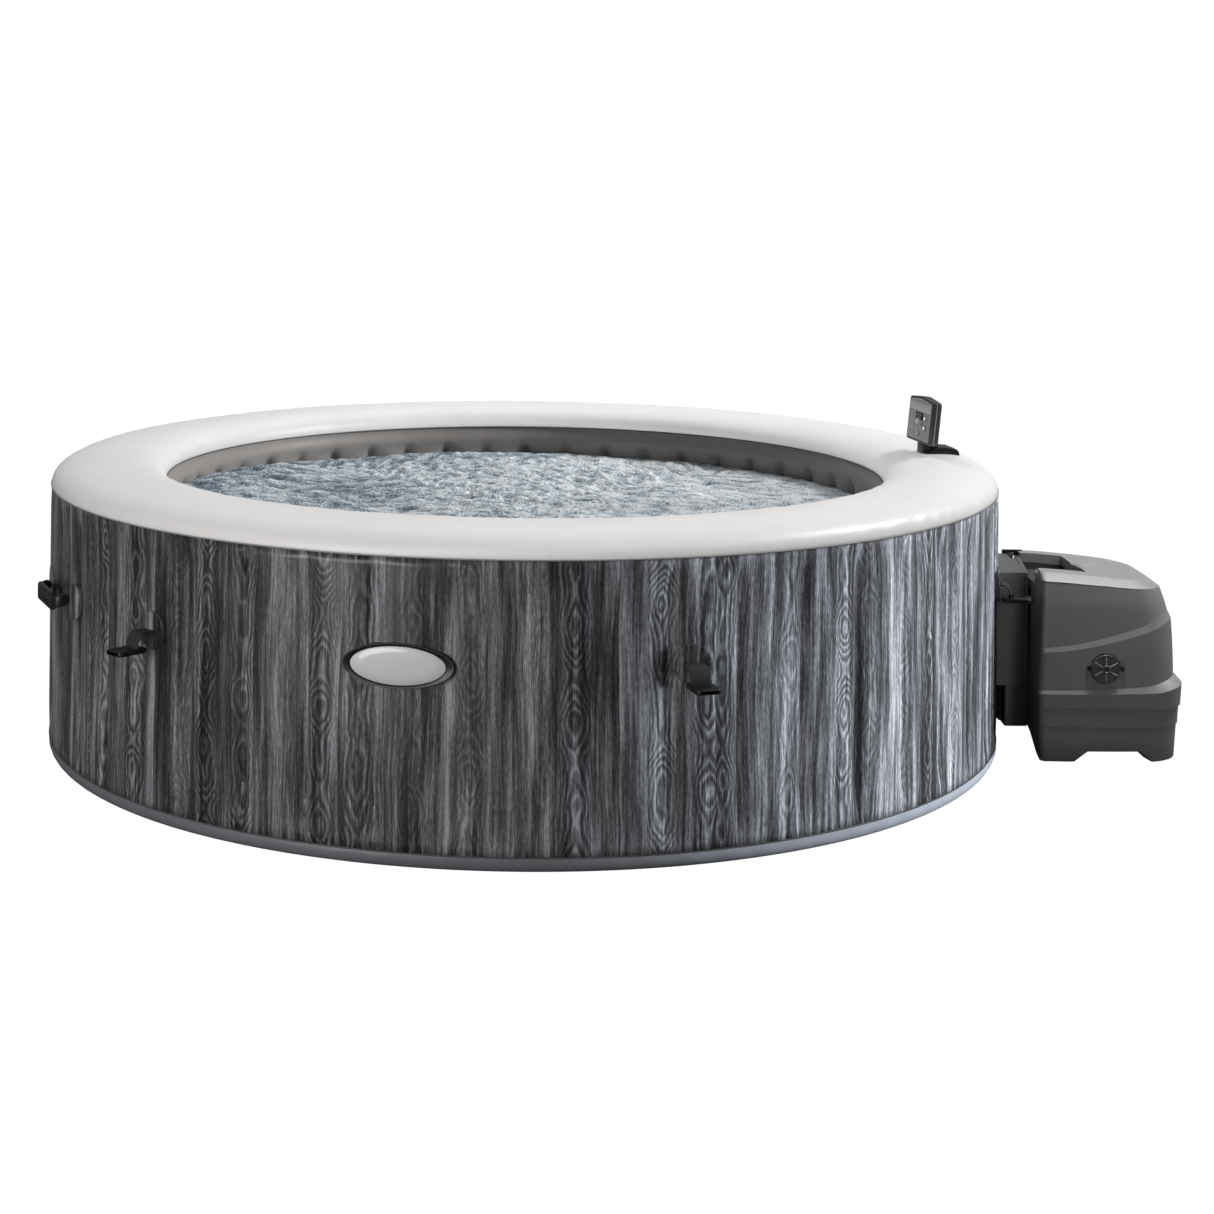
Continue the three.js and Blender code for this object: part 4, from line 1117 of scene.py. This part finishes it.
def build_panel():
    """Two-part case, framed membrane with a blank top strip, dark display, icons and keys."""
    facing = -Vector(JOINTS["heat_key_press"]["axis"])
    level = Vector((facing.x, facing.y, 0)).normalized()
    across = Vector((-level.y, level.x, 0))
    up = facing.cross(across)
    origin = middle_of("display_lens") - facing * 0.9 * MM - up * 56 * MM
    place = Matrix.Translation(origin) @ Matrix((across, up, facing)).transposed().to_4x4()

    def slab(name, levels, material):
        """The panel's outline at each (inset, height), as one solid."""
        rows = []
        for inset, height in levels:
            plan = panel_outline(inset)
            rows.append(np.column_stack([plan, np.full(len(plan), height)]))
        made = capped(name, np.array(rows) * MM, material, "panel")
        made.data.transform(place)
        sharpen(made, 35)
        return made

    case = slab("panel_front", [(1.2, -11), (0, -10.4), (0, -1.6), (0.5, -0.4), (1.6, 0), (6.2, 0),
                                (6.8, -0.9), (7, -1.2)], PANEL_SIDE)
    slab("panel_back", [(8, -24), (2.4, -23.4), (0.8, -22), (0, -19), (0, -13.4), (1.2, -12.8)], PANEL_SIDE)
    slab("panel_groove", [(1.0, -13), (1.0, -11)], PANEL_TRIM)
    stand_in(case, "panel_case")
    membrane = slab("panel_membrane", [(7.4, -1.4), (7.4, -0.5), (8, -0.35)], PANEL)
    # The membrane's face covers the bezel's middle again.
    slab("bezel", [(6.6, -0.2), (6.6, 0.5), (7.0, 0.7), (7.9, 0.5), (8.1, -0.4)], PANEL_TRIM)
    face = slab("panel_face", [(7.9, 0.1), (7.9, 0.62), (8.3, 0.7)], PANEL)
    for layer in (case, membrane, face):
        carve(layer, *[key_block(place, node, 0.4, (-5, 5), 0.2) for node in KEYS])
    build_display(place)
    build_keys(place)
    build_panel_stand(level)


def panel_outline(inset):
    """The peaked front, with rounded lower corners, `inset` millimetres inside its edge."""
    left, low, high, crown = 77.0 - inset, 1.5 + inset, 102.0 - inset * 0.9, 109.5 - inset
    corner = max(7.0 - inset, 1.5)
    points = []
    for cx, start in ((-left + corner, 180), (left - corner, 270)):
        for k in range(6):
            a = math.radians(start + 90 * k / 5)
            points.append((cx + corner * math.cos(a), low + corner * (1 + math.sin(a))))
    shoulder = high + 0.6
    points += [(left, high - 5), (left - 1, high - 2), (left - 5, shoulder)]
    # Straight slopes rise to a blunt peak.
    for k in range(9, -10, -1):
        slope = crown - abs(k) / 10 * (crown - shoulder)
        blunt = crown - 0.9 + 0.3 * (1.5 - abs(k))
        points.append((k * (left - 5) / 10, slope if abs(k) > 1.5 else blunt))
    return np.array(points + [(-left + 5, shoulder), (-left + 1, high - 2), (-left, high - 5)])


def build_display(place):
    """The blank header strip, the dark display with two digits, and rows of plain icons."""

    def tile(name, x, y, z, corner, material, edge=0.25):
        made = block(name, x, y, z, corner, edge, material, place, "panel", 4)
        sharpen(made, 35)
        return made

    tile("panel_header", (-68, 68), (75.5, 92), (0.2, 0.86), 1.5, PANEL_LIGHT)
    tile("header_line", (-69, 69), (74.2, 75.6), (0.2, 1.0), 0.4, PANEL_TRIM)
    glass = tile("panel_display", (-24, 24), (42, 71), (0.1, 1.35), 2, GLASS)
    stand_in(glass, "display_lens")
    # Each segment's place in its digit, and whether it lies flat.
    segments = {"top": (0, 9, 1), "middle": (0, 0, 1), "bottom": (0, -9, 1), "upper left": (-4.6, 4.5, 0),
                "upper right": (4.6, 4.5, 0), "lower left": (-4.6, -4.5, 0), "lower right": (4.6, -4.5, 0)}
    digits = {-9.5: ("top", "upper left", "upper right", "middle", "lower right", "bottom"),
              8.5: ("top", "upper left", "middle", "lower left", "lower right", "bottom")}
    lit = []
    for middle, shown in digits.items():
        for x, y, flat in (segments[name] for name in shown):
            wide, tall = (3.3, 0.65) if flat else (0.65, 3.2)
            x += middle + y * 0.08
            y += 56.5
            x, y = (x - wide, x + wide), (y - tall, y + tall)
            lit.append(tile("digit", x, y, (1.2, 1.5), 0.6, SEGMENT, 0.1))
    merge("display_digits", lit)
    icons = []
    for k in range(6):
        y = 68 - 7.6 * k
        icons.append(tile("icon", (-60, -52 + 3 * (k % 2)), (y - 1, y + 1), (0.5, 0.85), 0.8, PANEL_TRIM))
        icons.append(tile("icon", (-46, -38), (y - 1.2, y + 0.6), (0.5, 0.8), 0.8, PANEL_TRIM))
    for x in (-14, 12):
        icons.append(tile("icon", (x - 3, x + 3), (28, 33), (0.5, 0.85), 2, PANEL_TRIM))
    merge("panel_icons", icons)


def build_panel_stand(level):
    """A low wedge on the rim, with a tongue under the panel and a short rest behind it."""
    # The stand's footprint runs from 22 mm before its origin to 92 mm behind it.
    middle = middle_of("panel_stand") + level * 35 * MM
    place = basis(Vector((middle.x, middle.y, RIM_TOP)), level)
    profile = [(-10, 1), (-13, 5), (-34, 8), (-42, 14), (-60, 15.5), (-80, 14), (-90, 8), (-93, 1)]
    rows = []
    for x, top in profile:
        outline = rounded_outline(-32, 32, -9, top, 3, 3)
        rows.append(np.column_stack([np.full(len(outline), x), outline]))
    wedge = capped("stand_wedge", np.array(rows) * MM, BLACK)
    wedge.data.transform(place)
    tongue = block("tongue", (-31, -6), (-18, 18), (0, 23), 4, 2, BLACK, place)
    rest = block("rest", (-46, -34), (-18, 18), (0, 46), 4, 2, BLACK, place)
    stand = merge("panel_stand_wedge", [wedge, tongue, rest])
    sharpen(stand, 35)
    stand_in(stand, "panel_stand")


def key_middle(place, node):
    """A key's middle on the panel's face, in millimetres."""
    centre = place.inverted() @ middle_of(node)
    return centre.x / MM, centre.y / MM


def key_block(place, node, grown, z, edge, body="root"):
    """A block the shape of a key, `grown` millimetres larger all round."""
    x, y = key_middle(place, node)
    wide, tall = 9 + grown, 6.5 + grown
    return block(f"{node}_block", (x - wide, x + wide), (y - tall, y + tall), z, 4 + grown, edge, PANEL,
                 place, body)


def build_keys(place):
    """Soft keys with a pale printed ring, each in a well in the panel's face."""
    for node in KEYS:
        x, y = key_middle(place, node)
        cap = key_block(place, node, 0, (-0.8, 3.2), 0.8, f"{node}_cap")
        ink = PANEL_TRIM if node == "power_key" else LIGHT
        mark = block("mark", (x - 3.4, x + 3.4), (y - 3.4, y + 3.4), (3.0, 3.45), 3.3, 0.2, ink, place,
                     f"{node}_cap")
        for one in (cap, mark):
            sharpen(one, 35)
        stand_in(merge(f"{node}_button", [cap, mark]), node)


# ---------------------------------------------------------------- pieces kept from the frame
def finish_kept_nodes():
    """Materials, rounded edges and smooth shading for the CAD pieces that are shown as they are."""
    looks = {
        LINER_VINYL: ["floor_sheet", "bubble_channel"],
        FABRIC: ["baffle_web"],
        BLACK: ["inlet_pipe", "outlet_pipe", "air_pipe", "outlet_grille", "air_blower", "impeller"],
        RUBBER: ["power_cable"],
        CASE: ["filter_cup", "inflation_valve", "inflation_cap", "drain_valve", "drain_cap"],
        PAPER: ["filter_cartridge"],
        STEEL: ["circulation_pump", "heater_tube"],
        PALE: ["blower_fan"],
        BOARD: ["control_board"],
    }
    for material, names in looks.items():
        for name in names:
            made = frame["nodes"][name]
            made.data.materials.clear()
            made.data.materials.append(material)
            bevel = made.modifiers.new("soft_edges", "BEVEL")
            bevel.width = 0.8 * MM
            bevel.segments = 2
            bevel.limit_method = "ANGLE"
            bevel.angle_limit = math.radians(40)
            made.data.shade_smooth()
            made.data.set_sharp_from_angle(angle=math.radians(40))


build_pump_shell()
build_pump_base()
build_pump_lid()
build_neck()
build_knob()
build_panel()
finish_kept_nodes()


# ---------------------------------------------------------------- studio
SKY_LEVEL = 0.12
SKY_SLOPE = (0.14, 0.18, 0.20)
SEEN_WHITE = 1.02
FLOOR_HALF = 30.0


def build_floor():
    """A pale floor that the camera sees as pure white."""
    g = Graph("studio_floor")
    tone = g.times(g.noise(g.position(), 3.0, 2.0), 0.02, 0.15)
    g.finish(base_color=g.vector(tone, tone, tone), roughness=0.9)
    white = g.add("ShaderNodeEmission", {"Color": (1, 1, 1, 1), "Strength": SEEN_WHITE})
    seen = g.add("ShaderNodeLightPath").outputs["Is Camera Ray"]
    mixed = g.add("ShaderNodeMixShader", {0: seen, 1: g.shader.outputs[0], 2: white.outputs[0]})
    g.links.new(mixed.outputs[0], g.nodes["Material Output"].inputs["Surface"])
    corners = [(x * FLOOR_HALF, y * FLOOR_HALF, -0.4 * MM) for x, y in ((-1, -1), (1, -1), (1, 1), (-1, 1))]
    mesh = bpy.data.meshes.new("studio_floor")
    mesh.from_pydata(corners, [], [(0, 1, 2, 3)])
    mesh.materials.append(g.material)
    floor = bpy.data.objects.new("studio_floor", mesh)
    bpy.context.scene.collection.objects.link(floor)


def build_sky():
    """White to the camera. To the object, even light that grows upwards, to the right and to the back."""
    world = bpy.data.worlds.new("studio")
    world.use_nodes = True
    bpy.context.scene.world = world
    nodes, links = world.node_tree.nodes, world.node_tree.links
    background = nodes["Background"]
    slope = nodes.new("ShaderNodeVectorMath")
    slope.operation = "DOT_PRODUCT"
    slope.inputs[1].default_value = SKY_SLOPE
    links.new(nodes.new("ShaderNodeTexCoord").outputs["Generated"], slope.inputs[0])
    level = nodes.new("ShaderNodeMath")
    level.operation = "ADD"
    level.use_clamp = True
    level.inputs[1].default_value = SKY_LEVEL
    links.new(slope.outputs["Value"], level.inputs[0])
    strength = nodes.new("ShaderNodeMix")
    strength.data_type = "FLOAT"
    strength.inputs["B"].default_value = SEEN_WHITE
    links.new(nodes.new("ShaderNodeLightPath").outputs["Is Camera Ray"], strength.inputs["Factor"])
    links.new(level.outputs[0], strength.inputs["A"])
    links.new(strength.outputs["Result"], background.inputs["Strength"])
    background.inputs["Color"].default_value = (1, 1, 1, 1)


def lamp(name, place, size, power, colour=(1, 1, 1), aim=(0.3, 0, 0.5), glossy=True, only=(), never=()):
    """A round lamp. It can be left out of reflections, and kept to some pieces or away from some."""
    data = bpy.data.lights.new(name, "AREA")
    data.shape = "DISK"
    data.size = size
    data.energy = power
    data.color = colour
    made = bpy.data.objects.new(name, data)
    made.location = place
    made.rotation_euler = (Vector(aim) - Vector(place)).to_track_quat("-Z", "Y").to_euler()
    made.visible_glossy = glossy
    bpy.context.scene.collection.objects.link(made)
    if only or never:
        chosen = bpy.data.collections.new(f"{name}_pieces")
        made.light_linking.receiver_collection = chosen
        for piece in only or never:
            chosen.objects.link(bpy.data.objects[piece])
        for member in chosen.collection_objects:
            member.light_linking.link_state = "INCLUDE" if only else "EXCLUDE"


def build_studio():
    """A white floor, a graded sky and soft lamps, some of them for one part of the tub only."""
    bpy.context.scene.view_settings.view_transform = "Standard"
    build_floor()
    build_sky()
    knob = "drain_knob_ribbed"
    case = ["case_shell", "case_skirt", "case_lid"]
    pump = case + ["neck_hood"]
    basin = ["liner_wall", "liner_welt", "bath_water"]
    cool, colder = (0.92, 0.96, 1.0), (0.86, 0.93, 1.0)
    lamp("key_lamp", (4.0, 0.8, 4.2), 1.2, 140)
    lamp("back_lamp", (-0.8, 4.4, 3.8), 2.4, 105, glossy=False)
    lamp("side_lamp", (5.6, 0.5, 2.3), 0.9, 150, cool, glossy=False, never=pump + ["rim_welt"])
    lamp("front_lamp", (-3.8, -5.2, 1.4), 3.2, 165, never=pump + basin)
    lamp("wall_lamp", (7.0, -0.1, 1.5), 2.2, 1330, colder, glossy=False, only=["wood_wall", "foot_band"])
    lamp("rim_lamp", (-1.0, -5.0, 3.6), 3.0, 88, only=["domed_rim"])
    lamp("pump_lamp", (1.65, -0.45, 2.5), 0.6, 85, aim=(1.3, -0.2, 0.4), only=case + [knob])
    lamp("pump_front_lamp", (3.0, -5.5, 1.5), 1.5, 45, aim=(1.3, -0.2, 0.3), only=pump + [knob])


def build_camera():
    """The camera looks level and reaches down by lens shift, so upright edges stay parallel."""
    data = bpy.data.cameras.new("camera")
    camera = bpy.data.objects.new("camera", data)
    bpy.context.scene.collection.objects.link(camera)
    bpy.context.scene.camera = camera
    distance, height, roll = 5.36, 1.3907, 0.0097
    data.sensor_width = 36.0
    data.lens = 68.2
    camera.location = (0, -distance, height)
    camera.rotation_euler = (math.pi / 2, -roll, 0)
    for name, value in {"shift_x": 0.0647, "shift_y": -0.3953}.items():
        driver = data.driver_add(name).driver
        driver.type = "SCRIPTED"
        home = driver.variables.new()
        home.name = "y"
        home.type = "TRANSFORMS"
        home.targets[0].id = camera
        home.targets[0].transform_type = "LOC_Y"
        home.targets[0].transform_space = "WORLD_SPACE"
        # The shift belongs to this one viewpoint and is let go as soon as the camera moves.
        driver.expression = f"{value} if fabs(y + {distance}) < 0.001 else 0.0"


build_studio()
build_camera()
